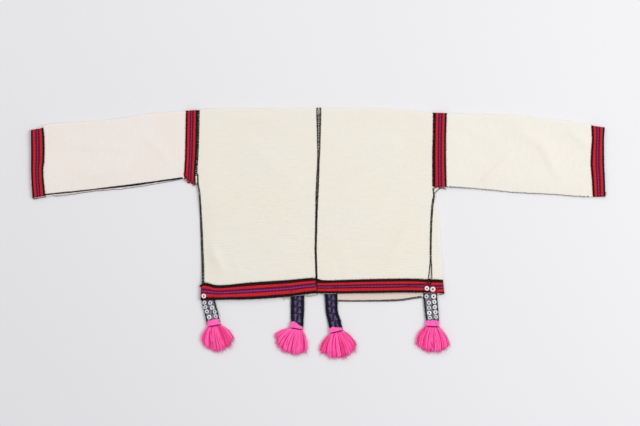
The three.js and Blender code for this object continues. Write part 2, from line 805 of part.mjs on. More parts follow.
// A sleeve with the tapes round its two ends, from left to right. Its grid has lines at both edges
// and the middle of each tape, which the tapes use too.
function sleeve(name, point, tapes) {
  const [left, right] = tapes.map(([, tape]) => tape);
  const middle = ({ from, to }) => (from + to) / 2;
  const places = [
    left.from, middle(left), left.to, left.to + TAPE_SWAY,
    ...steps(left.to + LIFT_RUN / 2, right.from - LIFT_RUN / 2, 7),
    right.from - TAPE_SWAY, right.from, middle(right), right.to,
  ];
  const columns = places.map((place) => (place - left.from) / (right.to - left.from));
  const lines = foldedLines(SLEEVE_UPPER, SLEEVE_LOWER);
  add(name, wall(point, columns, lines, CLOTH), "cloth");
  add(tapes[0][0], wall(point, columns.slice(0, 3), lines, TAPE, ON_CLOTH), "tape");
  add(tapes[1][0], wall(point, columns.slice(-3), lines, TAPE, ON_CLOTH), "tape");
}

sleeve("sleeve_left", sleeveLeft, [
  ["cuff_band_left", SLEEVE_TAPES.cuffLeft],
  ["armhole_band_left", SLEEVE_TAPES.armholeLeft],
]);
sleeve("sleeve_right", sleeveRight, [
  ["armhole_band_right", SLEEVE_TAPES.armholeRight],
  ["cuff_band_right", SLEEVE_TAPES.cuffRight],
]);

// A tape along the hem of one layer of a body panel. start and end give the height on the garment of
// its two edges, from the panel's own edge there, and go the way that v does.
function hemTape(panel, columns, layer, start, end) {
  const point = (u, w) => {
    const edge = panel(u, 2 * layer);
    const depth = 10 * (panel(u, 1.9 * layer).y - edge.y);
    const y = mix(start(edge), end(edge), w);
    return panel(u, layer * (2 - (y - edge.y) / depth));
  };
  return wall(point, columns, steps(0, 1, 2), TAPE, ON_CLOTH);
}

const backTape = (panel, columns) => {
  const bottom = (edge) => yAt(BACK_TAPE_BOTTOM, edge.x);
  return hemTape(panel, columns, -1, bottom, (edge) => yAt(BACK_TAPE_TOP, edge.x));
};
const frontTape = (panel, columns) => {
  return hemTape(panel, columns, 1, (edge) => edge.y + TAPE_WIDTH, (edge) => edge.y);
};
add("hem_band_back_left", backTape(bodyLeft, LEFT_COLUMNS), "tape");
add("hem_band_back_right", backTape(bodyRight, RIGHT_COLUMNS), "tape");
add("hem_band_front_left", frontTape(bodyLeft, LEFT_COLUMNS), "tape");
add("hem_band_front_right", frontTape(bodyRight, RIGHT_COLUMNS), "tape");

for (const name of Object.keys(TASSELS)) {
  add(`strap_${name}`, strap(name), "strap");
  add(`tassel_${name}`, tassel(name), "yarn");
}

const TAPE_TOP = TAPE_LIFT + HEM_STEP + CLOTH + GAP + TAPE;

function addShells(side, { onTape, discs }) {
  discs.forEach(({ x, down, radius }, i) => {
    const number = String(i + 1).padStart(2, "0");
    const disc = add(`shell_${side}_${number}`, shellDisc(radius), "shell");
    const onStrap = strapHeight(`outer_${side}`, x, down + radius) + STRAP / 2;
    disc.position.set(x, -down, (i < onTape ? TAPE_TOP : onStrap) + GAP);
  });
}

addShells("left", LEFT_SHELLS);
addShells("right", RIGHT_SHELLS);

// The origin is under the middle of the whole garment
const box = new THREE.Box3().setFromObject(garment);
const middle = box.getCenter(new THREE.Vector3());
garment.position.set(-middle.x, -middle.y, -box.min.z);

export default garment;
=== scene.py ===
import json
import math
import random
from collections import namedtuple

import bmesh
import bpy
import numpy as np
from bpy.props import FloatProperty, FloatVectorProperty, IntProperty, PointerProperty
from bpy.types import Operator, Panel, PropertyGroup
from mathutils import Matrix, Vector
from mathutils.bvhtree import BVHTree

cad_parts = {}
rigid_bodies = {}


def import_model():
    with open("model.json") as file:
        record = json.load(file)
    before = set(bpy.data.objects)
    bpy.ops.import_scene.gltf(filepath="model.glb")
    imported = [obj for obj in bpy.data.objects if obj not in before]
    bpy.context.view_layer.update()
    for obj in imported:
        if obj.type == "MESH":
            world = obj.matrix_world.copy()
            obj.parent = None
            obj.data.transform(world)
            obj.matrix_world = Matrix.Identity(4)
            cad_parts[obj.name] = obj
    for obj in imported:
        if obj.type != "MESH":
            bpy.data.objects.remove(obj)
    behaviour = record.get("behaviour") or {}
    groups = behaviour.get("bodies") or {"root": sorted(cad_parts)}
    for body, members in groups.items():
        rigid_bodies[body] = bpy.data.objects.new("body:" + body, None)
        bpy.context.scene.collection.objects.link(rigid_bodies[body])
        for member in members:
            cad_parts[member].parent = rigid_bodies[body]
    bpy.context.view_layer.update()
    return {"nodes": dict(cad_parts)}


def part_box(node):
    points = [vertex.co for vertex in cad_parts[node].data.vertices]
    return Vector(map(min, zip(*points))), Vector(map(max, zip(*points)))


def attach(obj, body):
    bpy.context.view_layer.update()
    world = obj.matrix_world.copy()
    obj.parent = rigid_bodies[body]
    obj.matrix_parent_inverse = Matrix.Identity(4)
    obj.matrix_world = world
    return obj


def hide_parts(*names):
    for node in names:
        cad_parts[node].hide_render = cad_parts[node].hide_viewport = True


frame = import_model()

bl_info = {
    "name": "Laid-out woven top",
    "version": (1, 0, 0),
    "blender": (4, 5, 0),
    "location": "3D View > Sidebar > Woven top",
    "description": "Dresses the solids of a cropped long-sleeve top with cloth, tape, sewing and tassels",
    "category": "Object",
}

MM = 0.001

# ---- Settings -------------------------------------------------------------------------------------


def colour_setting(name, description, default):
    return FloatVectorProperty(
        name=name, description=description, default=default, subtype="COLOR", size=3, min=0, max=1
    )


def length_setting(name, description, default):
    return FloatProperty(name=name, description=description, default=default, min=0, unit="LENGTH")


class ClothSettings(PropertyGroup):
    body: colour_setting("Body cloth", "Cream of the two body lengths", (0.845, 0.80, 0.705))
    left: colour_setting("Left sleeve", "Cream of the left sleeve, a little pinker", (0.88, 0.805, 0.755))
    right: colour_setting("Right sleeve", "Cream of the right sleeve", (0.85, 0.81, 0.725))
    rib: length_setting("Sleeve ribs", "Distance between two ribs of the sleeves' weave", 0.0031)
    body_rib: length_setting("Body ribs", "Distance between two ribs of the body's weave", 0.0055)
    thread: length_setting("Thread spacing", "Distance between two threads", 0.0008)
    crease: FloatProperty(
        name="Creases", description="Share of the creases' full height", default=1, min=0, max=2
    )


class TapeSettings(PropertyGroup):
    edge: colour_setting("Edge", "Near black warp along the edges", (0.020, 0.004, 0.006))
    red: colour_setting("Red", "Red stripes", (0.72, 0.024, 0.034))
    dark: colour_setting("Dark red", "Thin stripes beside the middle", (0.17, 0.003, 0.026))
    middle: colour_setting("Middle", "Purple middle stripe", (0.20, 0.004, 0.042))
    dots: colour_setting("Dots", "Row of light stitches on the middle", (0.62, 0.11, 0.30))
    pick: length_setting("Weft spacing", "Distance between two ridges across the tape", 0.0030)


class StrapSettings(PropertyGroup):
    edge: colour_setting("Edge", "Near black edges", (0.006, 0.008, 0.011))
    ground: colour_setting("Ground", "Navy ground", (0.010, 0.008, 0.030))
    motif: colour_setting("Motif", "Muted lilac triangles", (0.18, 0.135, 0.27))
    pale: colour_setting("Pale ground", "Grey lilac between the discs", (0.44, 0.42, 0.50))
    repeat: length_setting("Repeat", "Length of one step of the pattern", 0.0140)


class YarnSettings(PropertyGroup):
    pink: colour_setting("Pink", "Hot pink wool", (1.0, 0.15, 0.50))
    tie: colour_setting("Tie", "Dark thread round the neck", (0.16, 0.0, 0.04))
    strands: IntProperty(name="Strands", description="Strands in a tassel", default=240, min=20, max=400)
    thickness: length_setting("Yarn", "Thickness of a strand", 0.0020)


class SewingSettings(PropertyGroup):
    thread: colour_setting("Thread", "Black sewing thread", (0.020, 0.018, 0.016))
    thickness: length_setting("Thread thickness", "Thickness of the sewing thread", 0.0013)
    spacing: length_setting("Stitch spacing", "Distance between two overcast stitches", 0.0017)


class ShellSettings(PropertyGroup):
    shell: colour_setting("Shell", "Pearly white of the discs", (0.90, 0.89, 0.87))
    hole: FloatProperty(
        name="Hole", description="Radius of the hole, as a share of the disc's", default=0.34,
        min=0.2, max=0.5,
    )


class StageSettings(PropertyGroup):
    floor: colour_setting("Floor", "Pale floor", (0.775, 0.768, 0.785))
    height: FloatProperty(
        name="Camera height", description="Height of the camera over the floor", default=2.4, unit="LENGTH"
    )
    width: FloatProperty(
        name="View width", description="Width of floor in the view", default=1.3376, unit="LENGTH"
    )


SETTINGS = {
    "cloth": ClothSettings,
    "tape": TapeSettings,
    "strap": StrapSettings,
    "yarn": YarnSettings,
    "sewing": SewingSettings,
    "shell": ShellSettings,
    "stage": StageSettings,
}


def settings(name):
    return getattr(bpy.context.scene, "woven_top_" + name)


# ---- Nodes for the materials ----------------------------------------------------------------------


class Shade:
    """A node tree with short calls that add a node, fill its sockets and give back an output."""

    def __init__(self, tree):
        self.tree = tree
        tree.nodes.clear()

    def put(self, socket, value):
        if isinstance(value, bpy.types.NodeSocket):
            self.tree.links.new(value, socket)
        elif socket.type == "RGBA" and len(value) == 3:
            socket.default_value = (*value, 1)
        else:
            socket.default_value = value

    def node(self, kind, inputs=(), **options):
        node = self.tree.nodes.new("ShaderNode" + kind)
        for key, value in options.items():
            setattr(node, key, value)
        for key, value in dict(inputs).items():
            self.put(node.inputs[key], value)
        return node

    def math(self, operation, *values):
        return self.node("Math", enumerate(values), operation=operation).outputs[0]

    def plus(self, one, other):
        return self.math("ADD", one, other)

    def minus(self, one, other):
        return self.math("SUBTRACT", one, other)

    def times(self, one, other):
        return self.math("MULTIPLY", one, other)

    def per(self, one, other):
        return self.math("DIVIDE", one, other)

    def size(self, value):
        return self.math("ABSOLUTE", value)

    def ridges(self, turns):
        """Rounded ridges with a sharp valley at every whole turn."""
        return self.size(self.math("SINE", self.times(turns, math.pi)))

    def scaled(self, vector, scale):
        return self.node("VectorMath", {0: vector, 1: scale}, operation="MULTIPLY").outputs[0]

    def split(self, vector):
        return self.node("SeparateXYZ", {0: vector}).outputs

    def join(self, x, y, z=0.0):
        return self.node("CombineXYZ", {0: x, 1: y, 2: z}).outputs[0]

    def place(self):
        """The place on the piece's own coordinates, in metres."""
        return self.node("TexCoord").outputs["Object"]

    def weave_place(self):
        """The place on the piece's map named weave: along a band or strand, and across or round it."""
        return self.split(self.node("UVMap", uv_map="weave").outputs[0])[:2]

    def tone(self):
        return self.node("Attribute", attribute_name="tone").outputs["Fac"]

    def blend(self, share, low, high):
        return self.node("Mix", {0: share, 6: low, 7: high}, data_type="RGBA").outputs[2]

    def spread(self, value, low, high, start=0.0, end=1.0, smooth=False):
        """value from low to high, made a value from start to end."""
        way = "SMOOTHSTEP" if smooth else "LINEAR"
        inputs = {0: value, 1: low, 2: high, 3: start, 4: end}
        return self.node("MapRange", inputs, interpolation_type=way).outputs[0]

    def noise(self, vector, scale, detail=2.0, roughness=0.5):
        inputs = {"Vector": vector, "Scale": scale, "Detail": detail, "Roughness": roughness}
        return self.node("TexNoise", inputs).outputs[0]

    def stripes(self, value, rows):
        """Colours in bands: each row has the place where its band starts, and its colour."""
        ramp = self.node("ValToRGB", {0: value})
        ramp.color_ramp.interpolation = "CONSTANT"
        elements = ramp.color_ramp.elements
        elements.remove(elements[-1])
        elements[0].position, elements[0].color = rows[0][0], (*rows[0][1], 1)
        for place, colour in rows[1:]:
            elements.new(place).color = (*colour, 1)
        return ramp.outputs[0]

    def group(self, tree, **inputs):
        node = self.node("Group", node_tree=tree)
        for key, value in inputs.items():
            self.put(node.inputs[key.replace("_", " ")], value)
        return node.outputs

    def finish(self, colour, roughness, height, depth, **sockets):
        """The shader: a bump of the given depth, and plain numbers on the shader's own sockets."""
        bump = self.node("Bump", {"Height": height, "Distance": depth, "Strength": 1.0})
        inputs = {"Base Color": colour, "Roughness": roughness, "Normal": bump.outputs[0]}
        inputs.update({key.replace("_", " "): value for key, value in sockets.items()})
        shader = self.node("BsdfPrincipled", inputs)
        self.node("OutputMaterial", {0: shader.outputs[0]})


def new_group(name, inputs, outputs):
    """A shader node group. inputs and outputs map a name to a socket type."""
    tree = bpy.data.node_groups.new(name, "ShaderNodeTree")
    for label, kind in inputs.items():
        tree.interface.new_socket(label, in_out="INPUT", socket_type="NodeSocket" + kind)
    for label, kind in outputs.items():
        tree.interface.new_socket(label, in_out="OUTPUT", socket_type="NodeSocket" + kind)
    shade = Shade(tree)
    ends = tree.nodes.new("NodeGroupInput").outputs, tree.nodes.new("NodeGroupOutput").inputs
    return tree, shade, ends


def plain_weave():
    """Threads that go over and under each other. Threads lie one unit apart in the place given."""
    tree, shade, (given, result) = new_group(
        "Plain weave", {"Place": "Vector"}, {"Height": "Float", "Grooves": "Float"}
    )
    x, y, _ = shade.split(given["Place"])
    half_x = shade.math("COSINE", shade.times(x, math.pi))
    half_y = shade.math("COSINE", shade.times(y, math.pi))
    over = shade.spread(shade.times(half_x, half_y), -1.0, 1.0)
    warp = shade.times(shade.ridges(x), over)
    weft = shade.times(shade.ridges(y), shade.minus(1.0, over))
    height = shade.plus(warp, weft)
    shade.put(result["Height"], height)
    # Grooves: where the threads dip under each other, which the materials darken as painted shade
    shade.put(result["Grooves"], shade.spread(height, 0.1, 0.6, 1.0, 0.0))
    return tree


def hand_spun():
    """Slow changes of shade and thick places in the yarn, as hand-spun cotton has."""
    tree, shade, (given, result) = new_group(
        "Hand spun", {"Place": "Vector", "Run": "Vector"}, {"Cloud": "Float", "Slub": "Float"}
    )
    shade.put(result["Cloud"], shade.noise(given["Place"], 9.0, 3.0, 0.55))
    slub = shade.noise(shade.scaled(given["Place"], given["Run"]), 1.0, 2.0, 0.6)
    shade.put(result["Slub"], shade.spread(slub, 0.52, 0.72, smooth=True))
    return tree


def twisted():
    """The ridges of a yarn of two plies, from its length in turns and the way round it."""
    tree, shade, (given, result) = new_group(
        "Twisted yarn", {"Turns": "Float", "Round": "Float"}, {"Height": "Float"}
    )
    turn = shade.plus(given["Turns"], given["Round"])
    shade.put(result["Height"], shade.size(shade.math("SINE", shade.times(turn, 2 * math.pi))))
    return tree


def material(name):
    made = bpy.data.materials.new(name)
    made.use_nodes = True
    return made, Shade(made.node_tree)


# The cream cloth: how far the clouds of the hand-spun yarn turn its colour warm and cool, the painted
# shade between its ribs and between its threads, the colour of thick places in its yarn and of its hidden
# hem
CLOTH_WARM = (0.996, 0.984, 0.972)
CLOTH_COOL = (0.989, 0.993, 0.998)
SHADE_BETWEEN_RIBS = (0.52, 0.47, 0.38)
SHADE_BETWEEN_THREADS = (0.50, 0.45, 0.37)
THICK_YARN = (0.95, 0.93, 0.86)
HIDDEN_HEM = (0.72, 0.57, 0.51)
HIDDEN_BELOW = (2.9 * MM, 3.2 * MM)  # heights between which the lower layer turns into the upper
HIDDEN_AT_HEM = (-0.125, -0.105)  # where the tan of the lower layer fades, up from the hem
RIBS_FLATTEN = (-0.03, 0.20)  # where the ribs of the body flatten towards the shoulders
FLATTEST = 0.42


def cloth_material(name, colour, body, groups, tan=0.0):
    """Ribbed plain weave in cream cotton, on the piece's own coordinates. The ribs run across the body
    and across the sleeves."""
    cloth = settings("cloth")
    made, shade = material(name)
    place = shade.place()
    x, y, z = shade.split(place)
    # deep is how strongly the painted shade darkens the valleys between the ribs and the grooves between
    # the threads
    along, run, spacing, deep = (
        (y, (60, 900, 300), cloth.body_rib, 0.15) if body else (x, (900, 60, 300), cloth.rib, 0.08)
    )
    waver = shade.times(shade.minus(shade.noise(place, 22.0), 0.5), 0.0035)
    cloud, slub = shade.group(groups["spun"], Place=place, Run=run)
    height, grooves = shade.group(groups["weave"], Place=shade.scaled(place, (1 / cloth.thread,) * 3))
    rib = shade.ridges(shade.per(shade.plus(along, waver), spacing))
    strength = shade.noise(shade.scaled(place, run), 0.35, 1.0)
    # Painted shade in the valleys between the ribs, stronger in some places than in others
    valley = shade.spread(rib, 0.0, 0.45, 1.0, 0.0, smooth=True)
    valley = shade.times(valley, shade.spread(strength, 0.3, 0.7))
    if body:
        full = shade.spread(y, *RIBS_FLATTEN, 1.0, FLATTEST)
        valley, rib = shade.times(valley, full), shade.times(rib, full)
    warm, cool = ([a * b for a, b in zip(colour, turn)] for turn in (CLOTH_WARM, CLOTH_COOL))
    base = shade.blend(shade.spread(cloud, 0.35, 0.65, smooth=True), cool, warm)
    hidden = shade.spread(z, *HIDDEN_BELOW, tan, 0.0)
    hidden = shade.times(hidden, shade.spread(y, *HIDDEN_AT_HEM, 1.0, 0.1))
    # The hidden hem's tint, painted shade between the ribs and between the threads, and thick places in the
    # yarn
    for share, shown in (
        (hidden, HIDDEN_HEM),
        (shade.times(valley, deep), SHADE_BETWEEN_RIBS),
        (shade.times(grooves, deep), SHADE_BETWEEN_THREADS),
        (shade.times(slub, 0.22), THICK_YARN),
    ):
        base = shade.blend(share, base, shown)
    rise = shade.plus(shade.times(height, 0.30), shade.times(rib, 0.32))
    rise = shade.plus(rise, shade.times(slub, 0.35))
    rough = shade.spread(cloud, 0.3, 0.7, 0.86, 0.95)
    shade.finish(
        base, rough, rise, depth=0.00045, Sheen_Weight=0.25, Sheen_Roughness=0.5, Specular_IOR_Level=0.2
    )
    return made


# Where the bands of the striped tape start, from one edge to the other, as shares of its width. Along
# the hem its edges are turned less far under.
BANDS = ("edge", "red", "dark", "middle", "dark", "red", "edge")
TAPE_BANDS = (0.0, 0.145, 0.335, 0.41, 0.59, 0.665, 0.855)
HEM_BANDS = (0.0, 0.17, 0.36, 0.42, 0.58, 0.65, 0.80)
TAPE_THREADS = 32.0  # across the tape
WORN_TAPE = (0.05, 0.002, 0.008)
TAPE_SHADOW = (0.02, 0.001, 0.004)


def tape_material(name, middle, dots, starts):
    """Warp-faced tape: fine threads along it in coloured bands, ridges across it, and a dotted line."""
    tape = settings("tape")
    made, shade = material(name)
    along, across = shade.weave_place()
    place = shade.place()
    pulse = shade.math("COSINE", shade.times(shade.per(along, tape.pick), 2 * math.pi))
    moved = across
    for scale, share in ((260.0, 0.035), (18.0, 0.03)):
        waver = shade.minus(shade.noise(place, scale, 1.0), 0.5)
        moved = shade.plus(moved, shade.times(waver, share))
    moved = shade.plus(moved, shade.times(pulse, 0.012))
    colours = {"edge": tape.edge, "red": tape.red, "dark": tape.dark, "middle": middle}
    base = shade.stripes(moved, [(start, colours[band]) for start, band in zip(starts, BANDS)])
    on_line = shade.spread(shade.size(shade.minus(moved, 0.5)), 0.024, 0.044, 1.0, 0.0)
    dotted = shade.times(on_line, shade.spread(pulse, 0.25, 0.5))
    base = shade.blend(dotted, base, dots)
    ridge = shade.ridges(shade.times(across, TAPE_THREADS))
    tone = shade.noise(shade.join(shade.times(along, 30.0), shade.times(across, TAPE_THREADS)), 1.0)
    base = shade.blend(shade.spread(tone, 0.35, 0.7, 0.0, 0.28), base, WORN_TAPE)
    between = shade.times(shade.spread(ridge, 0.0, 0.5, 1.0, 0.0), 0.3)
    trough = shade.times(shade.spread(pulse, -1.0, 0.0, 1.0, 0.0), 0.35)
    trough = shade.times(trough, shade.minus(1.0, dotted))
    base = shade.blend(shade.math("MAXIMUM", between, trough), base, TAPE_SHADOW)
    rise = shade.plus(shade.times(ridge, 0.5), shade.times(shade.spread(pulse, -1.0, 1.0), 0.35))
    rise = shade.plus(rise, shade.times(dotted, 0.5))
    rough = shade.spread(tone, 0.3, 0.7, 0.78, 0.92)
    shade.finish(base, rough, rise, depth=0.0005, Sheen_Weight=0.02, Specular_IOR_Level=0.12)
    return made


STRAP_THREAD = 1.1 * MM
STRAP_COLUMNS = 22.0  # of threads across the strap
STRAP_MIDDLE = 0.4773  # of the columns, which are counted from their left edges
TRIANGLE_MIDDLE = 0.165  # how far a row of triangles lies from the strap's middle
TRIANGLE_HALF = 0.13
ZIGZAG_REACH = 0.22
STRAP_SHADOW = (0.002, 0.002, 0.004)


def strap_material(name, motif_colour, light, half, groups):
    """A woven strap: plain dark edges, and on its navy middle two rows of lilac triangles in steps of
    single threads, one row turned over. light is how much lilac lies between them, and half is the
    middle's half width as a share of the strap's."""
    strap = settings("strap")
    made, shade = material(name)
    along, across = shade.weave_place()
    row = shade.times(shade.math("FLOOR", shade.per(along, STRAP_THREAD)), STRAP_THREAD)
    column = shade.per(shade.math("FLOOR", shade.times(across, STRAP_COLUMNS)), STRAP_COLUMNS)
    aside = shade.minus(column, STRAP_MIDDLE)
    off = shade.size(aside)
    steps = shade.per(row, strap.repeat)
    on_right = shade.math("GREATER_THAN", aside, 0.0)
    turned = shade.size(shade.minus(on_right, shade.math("FRACT", steps)))
    inside = shade.minus(shade.times(turned, TRIANGLE_HALF), shade.size(shade.minus(off, TRIANGLE_MIDDLE)))
    triangle = shade.times(shade.spread(inside, -0.01, 0.01), shade.spread(turned, 0.9, 0.93, 1.0, 0.0))
    zigzag = shade.times(shade.math("PINGPONG", steps, 0.5), ZIGZAG_REACH)
    line = shade.spread(shade.size(shade.minus(zigzag, off)), 0.012, 0.03, 0.45, 0.0)
    motif = shade.size(shade.minus(shade.math("MAXIMUM", triangle, line), light))
    motif = shade.times(motif, shade.spread(off, half, half + 0.02, 1.0, 0.0))
    wear = shade.noise(shade.place(), 700.0)
    motif = shade.times(motif, shade.spread(wear, 0.36, 0.6, 0.15, 1.0))
    base = shade.blend(motif, strap.ground, motif_colour)
    base = shade.blend(shade.spread(off, half + 0.01, half + 0.04), base, strap.edge)
    threads = shade.join(shade.per(along, STRAP_THREAD), shade.times(across, STRAP_COLUMNS))
    height, grooves = shade.group(groups["weave"], Place=threads)
    base = shade.blend(shade.times(grooves, 0.4), base, STRAP_SHADOW)
    rise = shade.plus(height, shade.times(motif, 0.4))
    rough = shade.spread(wear, 0.3, 0.7, 0.78, 0.92)
    shade.finish(base, rough, rise, depth=0.0004, Sheen_Weight=0.03, Specular_IOR_Level=0.15)
    return made


def yarn_material(name, colour, deep, turn, groups, sheen_and_glow=0.0):
    """Twisted yarn, with painted shade in the grooves of its twist. Each strand's tone is in the attribute
    tone.
    """
    made, shade = material(name)
    length, round_it = shade.weave_place()
    height = shade.group(groups["twist"], Turns=shade.per(length, turn), Round=round_it)[0]
    fuzz = shade.noise(shade.place(), 1500.0)
    # A low tone darkens a strand towards deep: at random, and for the tassels' skirts as painted shade on
    # the lower strands and at the edges of the clumps
    base = shade.blend(shade.spread(shade.tone(), 0.0, 1.0, 1.0, 0.0), colour, deep)
    # Painted shade in the grooves of the twist
    base = shade.blend(shade.spread(height, 0.0, 0.4, 0.35, 0.0), base, deep)
    rise = shade.plus(height, shade.times(fuzz, 0.6))
    rough = shade.spread(fuzz, 0.3, 0.7, 0.85, 0.97)
    # Painted light: the emission makes the yarn glow by itself beyond what the lamps give, in place of the
    # fluorescence of the hot pink dye
    light = {"Sheen_Weight": sheen_and_glow, "Emission_Color": base, "Emission_Strength": sheen_and_glow}
    shade.finish(base, rough, rise, depth=0.0003, Specular_IOR_Level=0.1, **light)
    return made


SHELL_BLUSH = (0.72, 0.66, 0.70)
SHELL_GREEN = (0.60, 0.63, 0.58)
# The colour of the painted shade on discs of low tone
SHELL_SHADE = (0.28, 0.24, 0.34)


def shell_material():
    """Pearly shell with fine growth lines and faint pink and green, and painted shade on discs of low tone.
    """
    made, shade = material("pearl_shell")
    place = shade.place()
    cloud = shade.noise(place, 160.0)
    lines = shade.noise(shade.scaled(place, (500, 1600, 500)), 1.0, 3.0)
    base = shade.blend(shade.spread(cloud, 0.35, 0.65, smooth=True), settings("shell").shell, SHELL_BLUSH)
    base = shade.blend(shade.spread(lines, 0.5, 0.7, 0.0, 0.35), base, SHELL_GREEN)
    # Painted shade on the discs of low tone
    base = shade.blend(shade.spread(shade.tone(), 0.0, 1.0, 0.8, 0.0), base, SHELL_SHADE)
    rough = shade.spread(cloud, 0.3, 0.7, 0.22, 0.4)
    shade.finish(base, rough, lines, depth=0.00008, Coat_Weight=0.3, Coat_Roughness=0.2)
    return made


def floor_material():
    made, shade = material("pale_floor")
    grain = shade.noise(shade.place(), 400.0)
    base = shade.blend(shade.spread(grain, 0.3, 0.7, 0.0, 0.04), settings("stage").floor, (0.7, 0.7, 0.74))
    shade.finish(base, 0.9, grain, depth=0.00005)
    return made


def make_materials():
    """Every material by a short name."""
    groups = {"weave": plain_weave(), "spun": hand_spun(), "twist": twisted()}
    cloth, tape, strap, yarn = (settings(name) for name in ("cloth", "tape", "strap", "yarn"))
    sewing = settings("sewing").thread
    violet = (tape.middle[0] * 0.9, tape.middle[1] * 1.5, tape.middle[2] * 2.4)
    violet_dots = (tape.dots[0] * 0.95, tape.dots[1], tape.dots[2] * 1.55)
    made = {
        "body": cloth_material("body_cloth", cloth.body, True, groups, tan=0.75),
        "left": cloth_material("left_sleeve_cloth", cloth.left, False, groups),
        "right": cloth_material("right_sleeve_cloth", cloth.right, False, groups),
        "tape": tape_material("striped_tape", tape.middle, tape.dots, TAPE_BANDS),
        "tape_hem": tape_material("striped_hem_tape", tape.middle, tape.dots, HEM_BANDS),
        "tape_left": tape_material("striped_tape_violet", violet, violet_dots, HEM_BANDS),
        "strap": strap_material("woven_strap", strap.motif, 0.0, 0.30, groups),
        "strap_light": strap_material("woven_strap_with_discs", strap.pale, 0.85, 0.38, groups),
        # The pink yarn's deep colour is painted shade on the tassels, and its glow is painted light from an
        # emission
        "yarn": yarn_material("pink_yarn", yarn.pink, (0.70, 0.006, 0.13), 0.005, groups, 0.18),
        "tie": yarn_material("tie_thread", yarn.tie, (0.05, 0, 0.015), 0.003, groups),
        "shell": shell_material(),
        "floor": floor_material(),
    }
    # The threads of the sewing: each with its colour, and a deeper one for its darker strands and as
    # painted shade in the grooves of its twist
    for short, name, colour, deep in (
        ("thread", "sewing_thread", sewing, (0.004, 0.004, 0.004)),
        ("red_thread", "red_thread", tape.red, tape.dark),
        ("edge_thread", "edge_thread", (0.085, 0.012, 0.012), tape.edge),
        ("cream_thread", "cream_thread", (0.93, 0.90, 0.82), (0.70, 0.64, 0.54)),
    ):
        made[short] = yarn_material(name, colour, deep, 0.002, groups)
    return made


MATERIALS = {}


def finish_of(name):
    if not MATERIALS:
        MATERIALS.update(make_materials())
    return MATERIALS[name]


# ---- Meshes ---------------------------------------------------------------------------------------


def deselect():
    bpy.ops.object.select_all(action="DESELECT")


def pick(piece):
    deselect()
    piece.select_set(True)
    bpy.context.view_layer.objects.active = piece


def settle(piece, finish, replaced=()):
    """The last steps for a piece: its finish, its body and the solids it stands for."""
    piece.data.materials.clear()
    piece.data.materials.append(finish_of(finish))
    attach(piece, "root")
    if replaced:
        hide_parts(*replaced)
    return piece


def add_object(name, data):
    made = bpy.data.objects.new(name, data)
    bpy.context.scene.collection.objects.link(made)
    return made


def points_of(mesh):
    points = np.empty(len(mesh.vertices) * 3)
    mesh.vertices.foreach_get("co", points)
    return points.reshape(-1, 3)


def put_points(mesh, points):
    mesh.vertices.foreach_set("co", points.astype(np.float32).ravel())
    mesh.update()


def subdivide(piece, levels):
    pick(piece)
    finer = piece.modifiers.new("finer", "SUBSURF")
    finer.levels = levels
    finer.render_levels = levels
    bpy.ops.object.modifier_apply(modifier=finer.name)


SHARP_FROM = 1.05  # angle in radians from which an edge of a solid stays sharp
SMOOTH_BELOW = math.radians(50)


def refined(node, name, levels):
    """A finer copy of a solid's mesh: its triangles paired, its edges kept sharp, the rest smooth."""
    mesh = frame["nodes"][node].data.copy()
    piece = add_object(name, mesh)
    shape = bmesh.new()
    shape.from_mesh(mesh)
    bmesh.ops.remove_doubles(shape, verts=shape.verts, dist=1e-6)
    bmesh.ops.join_triangles(
        shape, faces=shape.faces, angle_face_threshold=0.9, angle_shape_threshold=1.2
    )
    crease = shape.edges.layers.float.new("crease_edge")
    for edge in shape.edges:
        edge[crease] = 1.0 if edge.calc_face_angle(0) > SHARP_FROM else 0.0
    shape.to_mesh(mesh)
    shape.free()
    subdivide(piece, levels)
    bpy.ops.object.shade_smooth_by_angle(angle=SMOOTH_BELOW)
    return piece


class Sides:
    """The two sides of a flat solid, read from its mesh at many places. It runs along x (0) or y (1)."""

    COUNT = 240
    LAST = 12  # places at each end that give the way on past it

    def __init__(self, node, run, inset):
        mesh = frame["nodes"][node].data
        points = points_of(mesh)
        edges = np.empty(len(mesh.edges) * 2, int)
        mesh.edges.foreach_get("vertices", edges)
        ends = points[edges.reshape(-1, 2)]
        self.start = ends[:, :, run].min() + inset
        self.end = ends[:, :, run].max() - inset
        self.places = np.linspace(self.start + 1e-5, self.end - 1e-5, self.COUNT)
        self.low = np.empty(len(self.places))
        self.high = np.empty(len(self.places))
        one, two = ends[:, 0], ends[:, 1]
        for i, place in enumerate(self.places):
            crossing = (one[:, run] <= place) != (two[:, run] <= place)
            a, b = one[crossing], two[crossing]
            share = (place - a[:, run]) / (b[:, run] - a[:, run])
            aside = a[:, 1 - run] + share * (b[:, 1 - run] - a[:, 1 - run])
            self.low[i], self.high[i] = aside.min(), aside.max()

    def _side(self, values, places):
        inside = np.interp(places, self.places, values)
        last = self.LAST
        before = (values[last] - values[0]) / (self.places[last] - self.places[0])
        after = (values[-1] - values[-1 - last]) / (self.places[-1] - self.places[-1 - last])
        inside += np.minimum(places - self.start, 0) * before
        return inside + np.maximum(places - self.end, 0) * after

    def at(self, places):
        places = np.asarray(places, float)
        return self._side(self.low, places), self._side(self.high, places)


ORIGIN = (1.7086, 261.8932)  # from the top of the centre seam to the frame's origin, in millimetres


def placed(x, down):
    """A place given in millimetres from the top of the centre seam."""
    return np.array([(x + ORIGIN[0]) * MM, (ORIGIN[1] - down) * MM])


